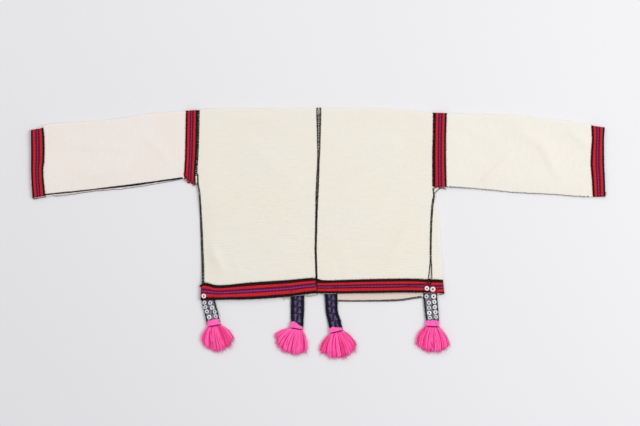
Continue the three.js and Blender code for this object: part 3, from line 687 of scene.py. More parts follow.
# How far the edges of a band lie beside its solid's straight ones, in millimetres. An upright band has
# rows of a place down the garment, and the shifts of its left and right edges towards +X. A level one
# has rows of a place across the garment, and the shifts of its lower and upper edges towards +Y.
SWAYS = {
    "hem_band_back_left": (
        (-252, 0, 1.4), (-245, 0, 3.8), (-238, -0.4, 4.6), (-229, -0.8, 3.2), (-219, -1.2, 1.2),
        (-205, -1.4, 0), (-60, -1.4, 0), (-20, -0.5, 0), (0, 0, 0),
    ),
    "cuff_band_left": (
        (40, 1.5, -1.0), (63, 0.6, 0), (90, -0.2, -0.4), (112, -1.0, -1.6), (127, -1.6, -4.4),
        (150, -1.6, -4.2), (167, -1.4, -3.2), (184, -1.0, -2.4),
    ),
    "cuff_band_right": (
        (38, -1.5, -1.6), (65, 0.8, -2.9), (90, -0.8, -2.3), (119, -1.6, -1.6), (152, 1.6, 0.4),
        (186, 4.4, 1.8),
    ),
    "armhole_band_left": (
        (0, 2.4, 0.2), (60, 1.2, -0.6), (110, 0.4, -1.8), (138, -0.6, -3.4), (160, -1.2, -4.0),
    ),
    "armhole_band_right": ((0, 2.0, 0.9), (60, 1.9, -0.2), (120, 1.0, -0.2), (165, 0.4, 0.4)),
    "strap_outer_left": ((389, 0, 2.0), (402, 0, 3.4), (443, 0, 3.4)),
    "strap_inner_left": ((440, 0, 0), (460, 0, 1.5)),
    "strap_inner_right": ((424, 0, 0), (440, 0.6, 1.8), (462, 1.2, 4.6)),
}


def sway(node, run, places):
    """The shifts of a band's two edges, at places along its run: 0 for x and 1 for y."""
    rows, low, high = np.array(SWAYS.get(node, ((0, 0, 0),)), float).T
    at = np.asarray(places) / MM
    at = ORIGIN[1] - at if run else at - ORIGIN[0]
    return np.interp(at, rows, low) * MM, np.interp(at, rows, high) * MM


def put_uv(mesh, uv):
    """A UV map named weave, from a value for each point."""
    corners = np.empty(len(mesh.loops), int)
    mesh.loops.foreach_get("vertex_index", corners)
    layer = mesh.uv_layers.get("weave") or mesh.uv_layers.new(name="weave")
    layer.data.foreach_set("uv", uv[corners].astype(np.float32).ravel())


def put_tone(mesh, tone):
    values = mesh.attributes.new("tone", "FLOAT", "POINT")
    values.data.foreach_set("value", np.asarray(tone, np.float32))


def tubes(name, lines, radius, sides=5, plane=(0, 0, 1), tone=None):
    """Tubes round many lines at once, as one mesh. lines is (count, stations, 3), plane is the
    direction square to the plane that each line bends in, and tone has a value for each line."""
    lines = np.asarray(lines, float)
    count, stations, _ = lines.shape
    radius = np.broadcast_to(np.asarray(radius, float), (count, stations))
    forward = np.gradient(lines, axis=1)
    forward /= np.linalg.norm(forward, axis=2, keepdims=True)
    plane = np.broadcast_to(np.asarray(plane, float).reshape(-1, 1, 3), lines.shape)
    side = np.cross(forward, plane)
    side /= np.linalg.norm(side, axis=2, keepdims=True)
    up = np.cross(side, forward)
    angle = np.arange(sides) * 2 * math.pi / sides
    ring = np.cos(angle)[:, None] * side[:, :, None] + np.sin(angle)[:, None] * up[:, :, None]
    points = lines[:, :, None] + ring * radius[:, :, None, None]
    tube, station, corner = np.meshgrid(
        np.arange(count), np.arange(stations - 1), np.arange(sides), indexing="ij"
    )
    after = (corner + 1) % sides
    here = (tube * stations + station) * sides
    there = here + sides
    quads = np.stack([here + corner, there + corner, there + after, here + after], -1).reshape(-1, 4)
    first = np.arange(count)[:, None] * stations * sides + np.arange(sides)
    last = first + (stations - 1) * sides
    faces = quads.tolist() + first.tolist() + last[:, ::-1].tolist()
    mesh = bpy.data.meshes.new(name)
    mesh.from_pydata(points.reshape(-1, 3).tolist(), [], faces)
    reach = np.cumsum(np.linalg.norm(np.diff(lines, axis=1, prepend=lines[:, :1]), axis=2), axis=1)
    ahead = np.stack([station, station + 1, station + 1, station], -1)
    around = np.stack([corner, corner, corner + 1, corner + 1], -1) / sides
    uv_quads = np.stack([reach[tube[..., None], ahead], around], -1).reshape(-1, 2)
    uv = np.zeros((len(mesh.loops), 2))
    uv[: len(uv_quads)] = uv_quads
    layer = mesh.uv_layers.new(name="weave")
    layer.data.foreach_set("uv", uv.astype(np.float32).ravel())
    put_tone(mesh, np.repeat(np.ones(count) if tone is None else tone, stations * sides))
    mesh.shade_smooth()
    return add_object(name, mesh)


def smooth(value):
    value = np.clip(value, 0, 1)
    return value * value * (3 - 2 * value)


def curve(start, bend, end, share):
    """Places on a curve that leaves start towards bend and comes to end."""
    return (1 - share) ** 2 * start + 2 * share * (1 - share) * bend + share ** 2 * end


# ---- Cloth ----------------------------------------------------------------------------------------

# The main creases of the upper layer, and some of the lower one seen from below. A crease goes from
# its start past its bend to its end. left and right are its half widths on its two sides.
Crease = namedtuple("Crease", "start bend end height left right")
UPPER_CREASES = (
    Crease((0.404, 0.217), (0.456, 0.201), (0.478, 0.166), 1.6 * MM, 16 * MM, 11 * MM),
    Crease((0.462, 0.188), (0.488, 0.152), (0.502, 0.108), 1.9 * MM, 16 * MM, 9 * MM),
    Crease((0.336, 0.106), (0.374, 0.136), (0.410, 0.172), 2.8 * MM, 5 * MM, 11 * MM),
    Crease((0.518, 0.214), (0.546, 0.200), (0.568, 0.176), 1.5 * MM, 11 * MM, 8 * MM),
    Crease((0.300, 0.225), (0.340, 0.205), (0.372, 0.200), 0.7 * MM, 9 * MM, 9 * MM),
    Crease((-0.560, 0.196), (-0.470, 0.176), (-0.380, 0.176), 1.0 * MM, 12 * MM, 9 * MM),
    Crease((-0.520, 0.120), (-0.450, 0.128), (-0.370, 0.150), 0.9 * MM, 10 * MM, 12 * MM),
    Crease((-0.375, 0.215), (-0.330, 0.180), (-0.300, 0.130), 0.8 * MM, 10 * MM, 8 * MM),
    Crease((0.070, 0.114), (0.118, 0.162), (0.174, 0.197), 1.7 * MM, 9 * MM, 14 * MM),
    Crease((-0.146, 0.192), (-0.096, 0.140), (-0.046, 0.100), 0.9 * MM, 14 * MM, 10 * MM),
    Crease((-0.226, -0.022), (-0.212, -0.052), (-0.192, -0.084), 1.8 * MM, 7 * MM, 10 * MM),
    Crease((-0.180, -0.050), (-0.166, -0.068), (-0.160, -0.088), 0.8 * MM, 5 * MM, 6 * MM),
    Crease((-0.150, -0.056), (-0.140, -0.070), (-0.138, -0.086), 0.6 * MM, 4 * MM, 5 * MM),
    Crease((0.194, 0.020), (0.172, -0.022), (0.138, -0.068), 1.5 * MM, 12 * MM, 8 * MM),
    Crease((-0.030, 0.010), (-0.070, -0.030), (-0.110, -0.050), 0.6 * MM, 12 * MM, 12 * MM),
    Crease((0.030, -0.010), (0.060, -0.045), (0.068, -0.080), 0.6 * MM, 10 * MM, 12 * MM),
    Crease((-0.210, 0.246), (-0.150, 0.238), (-0.060, 0.240), 0.7 * MM, 7 * MM, 10 * MM),
    Crease((0.016, -0.066), (0.012, -0.080), (0.013, -0.094), 0.6 * MM, 3 * MM, 4 * MM),
    Crease((0.034, -0.060), (0.030, -0.076), (0.034, -0.094), 0.7 * MM, 3 * MM, 4 * MM),
    Crease((0.050, -0.058), (0.054, -0.076), (0.064, -0.092), 0.7 * MM, 3 * MM, 5 * MM),
)
LOWER_CREASES = (
    Crease((-0.200, 0.180), (-0.140, 0.110), (-0.060, 0.080), 1.1 * MM, 9 * MM, 11 * MM),
    Crease((-0.170, 0.020), (-0.120, 0.040), (-0.060, 0.000), 0.9 * MM, 12 * MM, 9 * MM),
    Crease((0.060, 0.190), (0.110, 0.130), (0.180, 0.110), 1.1 * MM, 10 * MM, 9 * MM),
    Crease((0.190, 0.060), (0.150, 0.020), (0.080, 0.010), 0.9 * MM, 9 * MM, 12 * MM),
    Crease((-0.500, 0.180), (-0.440, 0.150), (-0.380, 0.160), 1.0 * MM, 9 * MM, 9 * MM),
    Crease((0.360, 0.190), (0.420, 0.150), (0.500, 0.150), 1.0 * MM, 9 * MM, 9 * MM),
)
CREASE_PLACES = 25  # along a crease
CREASE_FADE = 8  # of them, in which it fades towards each end
RIPPLE = 0.22 * MM
LAYERS_PART = (2.85 * MM, 3.2 * MM)  # heights of the top of the lower layer and the base of the upper


def crease_height(points, creases):
    """How far the creases raise each point."""
    total = np.zeros(len(points))
    for crease in creases:
        start, bend, end = (np.array(p) for p in (crease.start, crease.bend, crease.end))
        line = curve(start, bend, end, np.linspace(0, 1, CREASE_PLACES)[:, None])
        reach = 3 * max(crease.left, crease.right)
        near = np.all((points > line.min(0) - reach) & (points < line.max(0) + reach), axis=1)
        if not near.any():
            continue
        away = points[near][:, None] - line
        closest = np.argmin((away ** 2).sum(2), axis=1)
        rows = np.arange(len(closest))
        aside = away[rows, closest]
        run = np.gradient(line, axis=0)[closest]
        on_left = run[:, 0] * aside[:, 1] - run[:, 1] * aside[:, 0] > 0
        width = np.where(on_left, crease.left, crease.right)
        fade = smooth(np.minimum(closest, CREASE_PLACES - 1 - closest) / CREASE_FADE + 0.15)
        past = np.maximum(0, np.abs((aside * run).sum(1)) / np.linalg.norm(run, axis=1) - 1 * MM)
        far = np.sqrt(np.maximum((aside ** 2).sum(1), past ** 2))
        total[near] += crease.height * np.exp(-((far / width) ** 2)) * fade
    return total


def ripples(points):
    """The slow unevenness of cloth that has been smoothed out by hand."""
    x, y = points[:, 0], points[:, 1]
    waves = np.sin(61 * x + 23 * y + 1.1) + np.sin(-37 * x + 71 * y + 0.4)
    waves += 0.7 * np.sin(113 * x - 67 * y + 2.0) + 0.7 * np.sin(97 * x + 141 * y + 4.0)
    return waves / 3.4


BAND_PULL = 30 * MM  # how far from a band the cloth still moves with it


def follow_band(piece, node):
    """Moves the end of a sleeve with the band that is sewn round it."""
    low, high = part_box(node)
    points = points_of(piece.data)
    left, right = sway(node, 1, points[:, 1])
    across = np.clip((points[:, 0] - low[0]) / (high[0] - low[0]), 0, 1)
    away = np.maximum(low[0] - points[:, 0], points[:, 0] - high[0])
    points[:, 0] += (left + across * (right - left)) * (1 - smooth(away / BAND_PULL))
    put_points(piece.data, points)


# How far the right edge of the wrapped side lies beside its solid's, by places down the garment
CORNER_SHIFT = ((290, 0), (343, -2.0), (360, -2.4), (374, -1.2), (390, 0.4))
CORNER_WIDTH = 18 * MM


def ease_corner(piece):
    """Draws in the side edge above the right end of the hem."""
    points = points_of(piece.data)
    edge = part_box("hem_band_front_right")[1][0]
    share = smooth(1 - (edge - points[:, 0]) / CORNER_WIDTH)
    points[:, 0] += share * np.interp(ORIGIN[1] - points[:, 1] / MM, *zip(*CORNER_SHIFT)) * MM
    put_points(piece.data, points)


def add_creases(piece):
    """Raises the upper layer, and the lower one where creases lift it off the floor."""
    points = points_of(piece.data)
    share = settings("cloth").crease
    low, high = LAYERS_PART
    upper = smooth((points[:, 2] - low) / (high - low))
    raised = crease_height(points[:, :2], UPPER_CREASES) + RIPPLE * (1 + ripples(points))
    lifted = crease_height(points[:, :2], LOWER_CREASES) * (1 - upper)
    points[:, 2] += share * (upper * raised + lifted)
    put_points(piece.data, points)


def cloth_piece(node, finish, levels, band=None):
    piece = refined(node, node + "_cloth", levels)
    add_creases(piece)
    if band:
        follow_band(piece, band)
    if node == "body_right":
        ease_corner(piece)
    settle(piece, finish, [node])
    return piece


class WOVENTOP_OT_cloth(Operator):
    """Makes the two body lengths and the two sleeves"""

    bl_idname = "woven_top.cloth"
    bl_label = "Cloth"

    def execute(self, context):
        cloth_piece("body_left", "body", 2)
        cloth_piece("body_right", "body", 2)
        cloth_piece("sleeve_left", "left", 3, "cuff_band_left")
        cloth_piece("sleeve_right", "right", 3, "cuff_band_right")
        return {"FINISHED"}


# ---- Tapes ----------------------------------------------------------------------------------------

# The way each tape runs (0 along x, 1 along y), its finish, and its cut length
Tape = namedtuple("Tape", "node run finish length")
TAPES = (
    Tape("cuff_band_left", 1, "tape", 0.300),
    Tape("armhole_band_left", 1, "tape", 0.306),
    Tape("armhole_band_right", 1, "tape", 0.314),
    Tape("cuff_band_right", 1, "tape", 0.300),
    Tape("hem_band_back_left", 0, "tape_left", 0.246),
    Tape("hem_band_back_right", 0, "tape_hem", 0.240),
    Tape("hem_band_front_left", 0, "tape_hem", 0.242),
    Tape("hem_band_front_right", 0, "tape_hem", 0.262),
)
TAPE_INSET = 14  # length in millimetres at each end of a tape where its sides aren't read


def weave_uv(piece, node, run, inset):
    """Gives a band the map that its weave reads, of the place along it in metres and across it as a
    share, and then moves its sides."""
    points = points_of(piece.data)
    low, high = Sides(node, run, inset * MM).at(points[:, run])
    across = np.clip((points[:, 1 - run] - low) / (high - low), 0, 1)
    put_uv(piece.data, np.stack([points[:, run], across], 1))
    low, high = sway(node, run, points[:, run])
    points[:, 1 - run] += low + across * (high - low)
    put_points(piece.data, points)


CUFF_DROP = 4.5 * MM  # of the upper right corner of the left cuff's tape
CUFF_REACH = 1.5 * MM  # of its lower end, over the end of the sleeve
CUFF_CORNER = 20 * MM


def square_end(piece):
    """Lowers the inner upper corner of the left cuff's tape, so that its end is square to its length,
    and draws its lower end down."""
    points = points_of(piece.data)
    low, high = points.min(0), points.max(0)
    across = (points[:, 0] - low[0]) / (high[0] - low[0])
    points[:, 1] -= CUFF_DROP * across * smooth(1 - (high[1] - points[:, 1]) / CUFF_CORNER)
    points[:, 1] -= CUFF_REACH * smooth(1 - (points[:, 1] - low[1]) / CUFF_CORNER)
    put_points(piece.data, points)


class WOVENTOP_OT_tapes(Operator):
    """Makes the striped tapes at the armholes, cuffs and hem"""

    bl_idname = "woven_top.tapes"
    bl_label = "Tapes"

    def execute(self, context):
        for tape in TAPES:
            piece = refined(tape.node, tape.node + "_tape", 2)
            weave_uv(piece, tape.node, tape.run, TAPE_INSET)
            if tape.node == "hem_band_front_right":
                ease_corner(piece)
            if tape.node == "cuff_band_left":
                square_end(piece)
            settle(piece, tape.finish, [tape.node])
        return {"FINISHED"}


# ---- Straps ---------------------------------------------------------------------------------------

STRAPS = ("outer_left", "inner_left", "inner_right", "outer_right")
STRAP_INSET = 6
INTO_HEAD = 9 * MM  # how far a strap goes on into its tassel's head
DRAWN_ON = 24 * MM  # the length at its end that is drawn on


class WOVENTOP_OT_straps(Operator):
    """Makes the four woven straps below the hem"""

    bl_idname = "woven_top.straps"
    bl_label = "Straps"

    def execute(self, context):
        for name in STRAPS:
            node = "strap_" + name
            piece = refined(node, node + "_weave", 3)
            weave_uv(piece, node, 1, STRAP_INSET)
            self.reach_tie(piece)
            settle(piece, "strap_light" if name.startswith("outer") else "strap", [node])
        return {"FINISHED"}

    def reach_tie(self, piece):
        """Draws the strap's end on, into the head of its tassel."""
        points = points_of(piece.data)
        up = points[:, 1] - points[:, 1].min()
        points[:, 1] -= INTO_HEAD * smooth(1 - up / DRAWN_ON)
        put_points(piece.data, points)


# ---- Tassels --------------------------------------------------------------------------------------

# A tassel hangs from its tie, at a place in millimetres from the top of the centre seam, leaning from
# straight down by an angle. Each row of its fan has a share of the width at the tie, the angle from
# straight down, and the reach of the strands there in millimetres. Each row of its top has a place
# across the head from -1 to 1, and how far the yarn reaches over the strap above the tie there.
Tassel = namedtuple("Tassel", "name x down lean width fan top")
TASSELS = (
    Tassel("outer_left", -218.2, 454, 11, 27,
           ((0, -33, 40), (0.15, -18, 50), (0.45, 5, 55), (0.8, 35, 56), (1, 52, 51)),
           ((-1, 10.5), (0, 11.8), (1, 11))),
    Tassel("inner_left", -46.6, 460.4, -8, 26,
           ((0, -67, 48), (0.25, -40, 54), (0.6, 0, 54), (1, 25, 53)),
           ((-1, 12.5), (-0.6, 13.5), (0, 9.5), (0.5, 6.5), (1, 4))),
    Tassel("inner_right", 37, 466.8, 14, 26.5,
           ((0, -39, 53), (0.45, 6, 55), (0.75, 34, 56), (1, 59, 53)),
           ((-1, 10), (-0.5, 11.5), (0, 8), (1, 5))),
    Tassel("outer_right", 237.2, 455.8, -3, 28,
           ((0, -45, 46), (0.2, -25, 52), (0.45, -2, 53), (0.8, 25, 56), (1, 40, 55)),
           ((-1, 11), (0, 11.5), (1, 11))),
)
# Heights of a tassel's middle, and of the lowest and highest strands at the tie, halfway and at the tips
TASSEL_MIDDLE = 4.9 * MM
ROOT_LAYERS = (3.0 * MM, 6.8 * MM)
MIDDLE_LAYERS = (2.1 * MM, 7.5 * MM)
TIP_LAYERS = (1.5 * MM, 6.2 * MM)
CLUMPS = 15
GATHER = 0.7  # how far the strands of a clump come together at their ends
HEAD_STRANDS = 17
HEAD_HALF = 3.5 * MM  # half the head's height
TIE_TURNS = 3
TIE_HALF = 4.25 * MM  # half the height of the thread round the neck
TIE_THREAD = 0.45 * MM
FIBRES = 1700  # that stand off a tassel's strands
FIBRE = 0.2 * MM


def heading(degrees):
    """The way down and the way across, turned by an angle towards +X."""
    angle = np.radians(degrees)
    down = np.stack([np.sin(angle), -np.cos(angle)], -1)
    return down, np.stack([-down[..., 1], down[..., 0]], -1)


def skirt_lines(tassel, count, rng):
    """Strands that fan out below the tie: the upper ones in clumps, the lower ones between them."""
    share = (np.arange(count) + rng.uniform(0, 1, count)) / count
    layer = rng.uniform(0, 1, count)
    clump = np.floor(share * CLUMPS + rng.normal(0, 0.15, count)).clip(0, CLUMPS - 1).astype(int)
    gather = ((clump + 0.5) / CLUMPS - share) * np.where(layer > 0.4, GATHER, 0.0)
    fan = np.array(tassel.fan)
    spread = share + gather
    angle = np.interp(spread, fan[:, 0], fan[:, 1])
    angle = angle + rng.normal(0, 1.6, CLUMPS)[clump] + rng.normal(0, 2.3, count)
    reach = np.interp(spread, fan[:, 0], fan[:, 2]) * MM * rng.uniform(0.97, 1.03, CLUMPS)[clump]
    reach *= rng.uniform(0.88, 1.03, count) - 0.08 * (1 - layer)
    down, across = heading(tassel.lean)
    way, aside = heading(angle)
    bulge = heading(angle + 7 * np.clip((angle - tassel.lean) / 20, -1, 1))[0]
    tie = placed(tassel.x, tassel.down)
    root = tie + np.outer((share - 0.5) * 0.94 * tassel.width * MM, across) + 0.8 * MM * down
    bend = root + 0.50 * reach[:, None] * bulge
    tip = tie + reach[:, None] * way
    steps = np.linspace(0, 1, 12)
    flat = curve(root[:, None], bend[:, None], tip[:, None], steps[None, :, None])
    phase = rng.uniform(0, 2 * math.pi, (count, 1))
    turns = rng.uniform(1.2, 2.4, (count, 1))
    wave = np.sin(phase + 2 * math.pi * turns * steps) * steps * rng.uniform(0.1, 0.6, (count, 1)) * MM
    flat = flat + wave[..., None] * aside[:, None]
    low, middle, high = (a + (b - a) * layer for a, b in (ROOT_LAYERS, MIDDLE_LAYERS, TIP_LAYERS))
    height = curve(low[:, None], (2 * middle - (low + high) / 2)[:, None], high[:, None], steps)
    height += np.cos(phase + 2 * math.pi * turns * steps) * steps * 0.35 * MM
    # Painted shade: the tone darkens the lower strands and those at the edges of a clump, with a random
    # part on top
    aside_clump = np.abs(gather) * 2 * CLUMPS / GATHER
    tone = (1 - 0.9 * aside_clump ** 1.5) * smooth((layer - 0.3) / 0.5) + rng.normal(0, 0.2, count)
    return np.concatenate([flat, height[..., None]], 2), np.clip(tone, 0, 1)


def fluff_lines(lines, count, rng):
    """Single fibres that stand off the strands, more of them towards the ends."""
    strand = rng.integers(0, len(lines), count)
    station = (2 + (lines.shape[1] - 2) * rng.uniform(0, 1, count) ** 0.5).astype(int)
    start = lines[strand, station]
    way = lines[strand, station] - lines[strand, station - 1]
    way /= np.linalg.norm(way, axis=1, keepdims=True)
    turn = rng.normal(0, 0.7, count)
    cos, sin = np.cos(turn), np.sin(turn)
    way = np.stack([cos * way[:, 0] - sin * way[:, 1], sin * way[:, 0] + cos * way[:, 1], way[:, 2]], 1)
    length = rng.uniform(2.0, 7.0, count)[:, None] * MM
    steps = np.linspace(0, 1, 4)[None, :, None]
    curl = rng.normal(0, 0.35, (count, 3))
    fibres = start[:, None] + steps * length[:, None] * way[:, None] + steps ** 2 * (length * curl)[:, None]
    lift = rng.uniform(-0.5, 1.2, (count, 1)) * MM * steps[..., 0]
    fibres[..., 2] = np.maximum(fibres[..., 2] + lift, 0.3 * MM)
    return fibres


def head_lines(tassel, rng):
    """Yarn that goes round the end of the strap, from the tie up and over and back to the tie."""
    down, across = heading(tassel.lean)
    tie = placed(tassel.x, tassel.down)
    place = np.linspace(-1, 1, HEAD_STRANDS)
    aside = (place * 0.46 + rng.normal(0, 0.008, HEAD_STRANDS)) * tassel.width * MM
    rise = np.interp(place, *zip(*tassel.top)) + rng.normal(0, 0.35, HEAD_STRANDS)
    angle = np.linspace(-0.5, 0.5, 14) * math.pi
    along = np.cos(angle) ** 0.75
    round_it = np.sin(angle) * (1 - 0.12 * np.cos(angle))
    full = HEAD_HALF * (1 - 0.3 * np.abs(place) ** 3)
    flat = tie + aside[:, None, None] * across
    flat = flat - (rise[:, None] * MM * along)[..., None] * down
    height = TASSEL_MIDDLE + full[:, None] * round_it
    return np.concatenate([flat, height[..., None]], 2), rng.uniform(0.8, 1, HEAD_STRANDS)


def tie_lines(tassel):
    """Thread wound round the neck."""
    down, across = heading(tassel.lean)
    tie = placed(tassel.x, tassel.down)
    half = 0.49 * tassel.width * MM + 0.5 * MM
    lines = []
    for turn in range(TIE_TURNS):
        angle = np.linspace(0, 2.06 * math.pi, 30) + turn
        side = np.sign(np.cos(angle)) * np.abs(np.cos(angle)) ** 0.6 * half
        along = (turn - (TIE_TURNS - 1) / 2) * 0.75 * MM + 0.35 * MM * np.sin(angle * 0.5 + turn)
        flat = tie + side[:, None] * across + along[:, None] * down
        lines.append(np.column_stack([flat, TASSEL_MIDDLE + TIE_HALF * np.sin(angle)]))
    return np.array(lines), (*down, 0)


class WOVENTOP_OT_tassels(Operator):
    """Makes the wool tassels at the ends of the straps"""

    bl_idname = "woven_top.tassels"
    bl_label = "Tassels"

    def execute(self, context):
        yarn = settings("yarn")
        half = yarn.thickness / 2
        for number, tassel in enumerate(TASSELS):
            rng = np.random.default_rng(40 + number)
            node = "tassel_" + tassel.name
            lines, tone = skirt_lines(tassel, yarn.strands, rng)
            taper = np.array([1, 1, 1, 1, 1.02, 1.04, 1.06, 1.08, 1.1, 1.1, 1.05, 0.8])
            skirt = tubes(node + "_skirt", lines, half * taper, tone=tone)
            settle(skirt, "yarn", [node])
            fibres = fluff_lines(lines, FIBRES, rng)
            settle(tubes(node + "_fluff", fibres, FIBRE, 3), "yarn")
            lines, tone = head_lines(tassel, rng)
            across = heading(tassel.lean)[1]
            head = tubes(node + "_head", lines, half * 0.98, 6, plane=(*across, 0), tone=tone)
            settle(head, "yarn")
            lines, along = tie_lines(tassel)
            settle(tubes(node + "_tie", lines, TIE_THREAD, 6, plane=along), "tie")
        return {"FINISHED"}


# ---- Shell discs ----------------------------------------------------------------------------------

SHELLS = sorted(node for node in frame["nodes"] if node.startswith("shell_"))
DISC = 0.24  # thickness of the pattern, whose radius is 1
RIM = 0.10
LIP = 0.06  # round the hole
THICKNESS = 1.15 * MM

# Discs with painted shade, darker and greyer, as discs that tilt away from the light look
SHADED_SHELLS = [f"shell_left_{i:02}" for i in (2, 3, 4, 6, 7, 9)] + [
    f"shell_right_{i:02}" for i in (3, 5, 7, 11, 12)
]


class WOVENTOP_OT_shells(Operator):
    """Makes the pierced shell discs on the two outer straps"""

    bl_idname = "woven_top.shells"
    bl_label = "Shell discs"

    def execute(self, context):
        pattern = self.pattern()
        rng = random.Random(11)
        for node in SHELLS:
            self.copy(pattern, node, rng)
        bpy.data.objects.remove(pattern)
        return {"FINISHED"}

    def pattern(self):
        """A disc of radius 1 with a rounded rim and a hole."""
        deselect()
        bpy.ops.mesh.primitive_cylinder_add(vertices=20, radius=1, depth=DISC, location=(0, 0, 0))
        disc = bpy.context.object
        bpy.ops.object.mode_set(mode="EDIT")
        bpy.ops.mesh.select_mode(type="FACE")
        bpy.ops.mesh.select_all(action="DESELECT")
        shape = bmesh.from_edit_mesh(disc.data)
        for face in shape.faces:
            face.select = abs(face.normal.z) > 0.9
        bmesh.update_edit_mesh(disc.data)
        bpy.ops.mesh.inset(thickness=RIM)
        bpy.ops.mesh.inset(thickness=1 - RIM - LIP - settings("shell").hole)
        bpy.ops.mesh.inset(thickness=LIP)
        bpy.ops.mesh.bridge_edge_loops()
        bpy.ops.object.mode_set(mode="OBJECT")
        points = points_of(disc.data)
        reach = np.hypot(points[:, 0], points[:, 1])
        points[:, 2] *= np.where(reach > 0.98, 0.45, np.where(reach < 0.38, 0.75, 1.0))
        put_points(disc.data, points)
        subdivide(disc, 1)
        bpy.ops.object.shade_smooth()
        return disc

    def copy(self, pattern, node, rng):
        low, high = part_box(node)
        middle = (Vector(low) + Vector(high)) / 2
        radius = (high[0] - low[0]) / 2
        disc = add_object(node + "_disc", pattern.data.copy())
        points = points_of(disc.data)
        turn = math.pi / 4 + rng.uniform(0, 6)
        uneven = 1 + rng.uniform(0.01, 0.04) * np.sin(2 * np.arctan2(points[:, 1], points[:, 0]) + turn)
        points[:, :2] *= radius * uneven[:, None]
        points[:, 2] *= THICKNESS / DISC
        put_points(disc.data, points)
        tilt = Matrix.Rotation(math.radians(rng.uniform(-4, 4)), 4, "X")
        tilt @= Matrix.Rotation(math.radians(rng.uniform(-4, 4)), 4, "Y")
        disc.data.transform(Matrix.Translation(middle + Vector((0, 0, 0.15 * MM))) @ tilt)
        # Painted shade: the listed discs get a low tone, which darkens them
        tone = rng.uniform(0.4, 0.65) if node in SHADED_SHELLS else rng.uniform(0.85, 1)
        put_tone(disc.data, [tone] * len(disc.data.vertices))
        settle(disc, "shell", [node])


# ---- Sewing ---------------------------------------------------------------------------------------

# Lengths in the tables and calls of this section are in millimetres. A seam's line has rows of x and
# down from the top of the centre seam. left and right are how far its stitches reach to the line's two
# sides, as one length, or as rows of a share of the line and the length there.
Seam = namedtuple("Seam", "line left right spacing slant", defaults=(None, 0.25))

CENTRE = ((0, -0.5), (0, 90), (-4.2, 192), (-6.7, 297), (-4.8, 355), (-4.6, 366))
CENTRE_EDGE = (
    (0, 4.8), (0.03, 5.1), (0.1, 4.4), (0.2, 3.4), (0.31, 2.3), (0.38, 2.7), (0.45, 3.1), (0.53, 2.7),
    (0.62, 2.2), (1, 1.8),
)
CENTRE_SLIT = (
    (0, -1.3), (0.02, -2.7), (0.045, -1.5), (0.1, -1.5), (0.25, -0.9), (0.31, -0.2), (0.38, -0.6),
    (0.48, -0.7), (0.58, 0.0), (1, 0.2),
)
CENTRE_LADDER = ((0, 2.3), (0.3, 1.2), (0.45, 1.3), (0.6, 0.8), (1, 0.6))

# Two overcast edges, close together at the hem, with ladder threads between them
CENTRE_SEAMS = (
    Seam(CENTRE, CENTRE_EDGE, CENTRE_SLIT, 1.4),
    Seam(CENTRE, CENTRE_SLIT, CENTRE_EDGE, 1.4),
    Seam(((0, 13), *CENTRE[1:]), CENTRE_LADDER, CENTRE_LADDER, 3.6, 0.5),
)

# The left side, the right side as far as it parts in two, its two branches, and a row of black stitches
# that paints the shadow of a fold at the right end of the hem
RIGHT_SIDE_HALF = ((0, 1.5), (0.15, 2.4), (0.5, 2.1), (1, 1.8))
SIDE_SEAMS_AND_FOLD_SHADOW = (
    Seam(
        (
            (-252.7, 138), (-252.7, 157), (-249.3, 176), (-247.5, 209), (-245.2, 276), (-243, 339),
            (-242.5, 367),
        ),
        ((0, 1.6), (0.3, 2.6), (0.6, 3.8), (1, 4.2)), 1.3, 1.5,
    ),
    Seam(
        ((238.2, 168), (240.3, 181), (236.4, 207), (234.4, 240), (233.5, 276), (233.3, 318)),
        RIGHT_SIDE_HALF, RIGHT_SIDE_HALF, 1.35,
    ),
    Seam(((232.8, 316), (231.3, 332), (229.4, 350), (228, 356)), 0.9, 0.9, 1.4),
    Seam(((234.0, 316), (235.2, 336), (235.6, 356)), 0.9, 0.9, 1.4),
    # Painted shadow: black stitches that draw the shade of a fold at the right end of the hem
    Seam(((221, 359.5), (228, 365), (233.5, 371)), 0.7, 0.7, 1.3),
)

# The hand-sewn seam under the left sleeve, from the cuff, and the machine-straight one under the right
UNEVEN_HALF = ((0, 1.2), (0.2, 1.2), (0.36, 0.8), (0.48, 1.5), (0.66, 1.9), (0.8, 1.4), (1, 1.6))
LEFT_SLEEVE_SEAM = Seam(
    ((-572.5, 181.2), (-516, 175.4), (-467, 170), (-388, 161), (-332, 153), (-284, 146.5)),
    UNEVEN_HALF, UNEVEN_HALF, 1.25, 0.6,
)
RIGHT_SLEEVE_HALF = ((0, 1.1), (0.25, 0.5), (1, 0.3))
LEFT_ARMHOLE_HALF = ((0, 1.6), (1, 2.6))

CENTRE_TAPE_JOINT = Seam(((-4.6, 364), (-4.0, 380), (-4.8, 395)), 1.0, 1.0, 1.2)
LEFT_HEM_CORNER = Seam(
    ((-248.5, 374), (-244, 369.5), (-238, 366.5), (-229.5, 368.5), (-219, 371)), 1.9, 2.3, 0.8
)
FRONT_RIGHT_HEM = Seam(
    ((40, 403), (70, 403.5), (120, 403), (170, 401), (190, 398), (215, 394)), 1.6, 1.0, 1.8
)

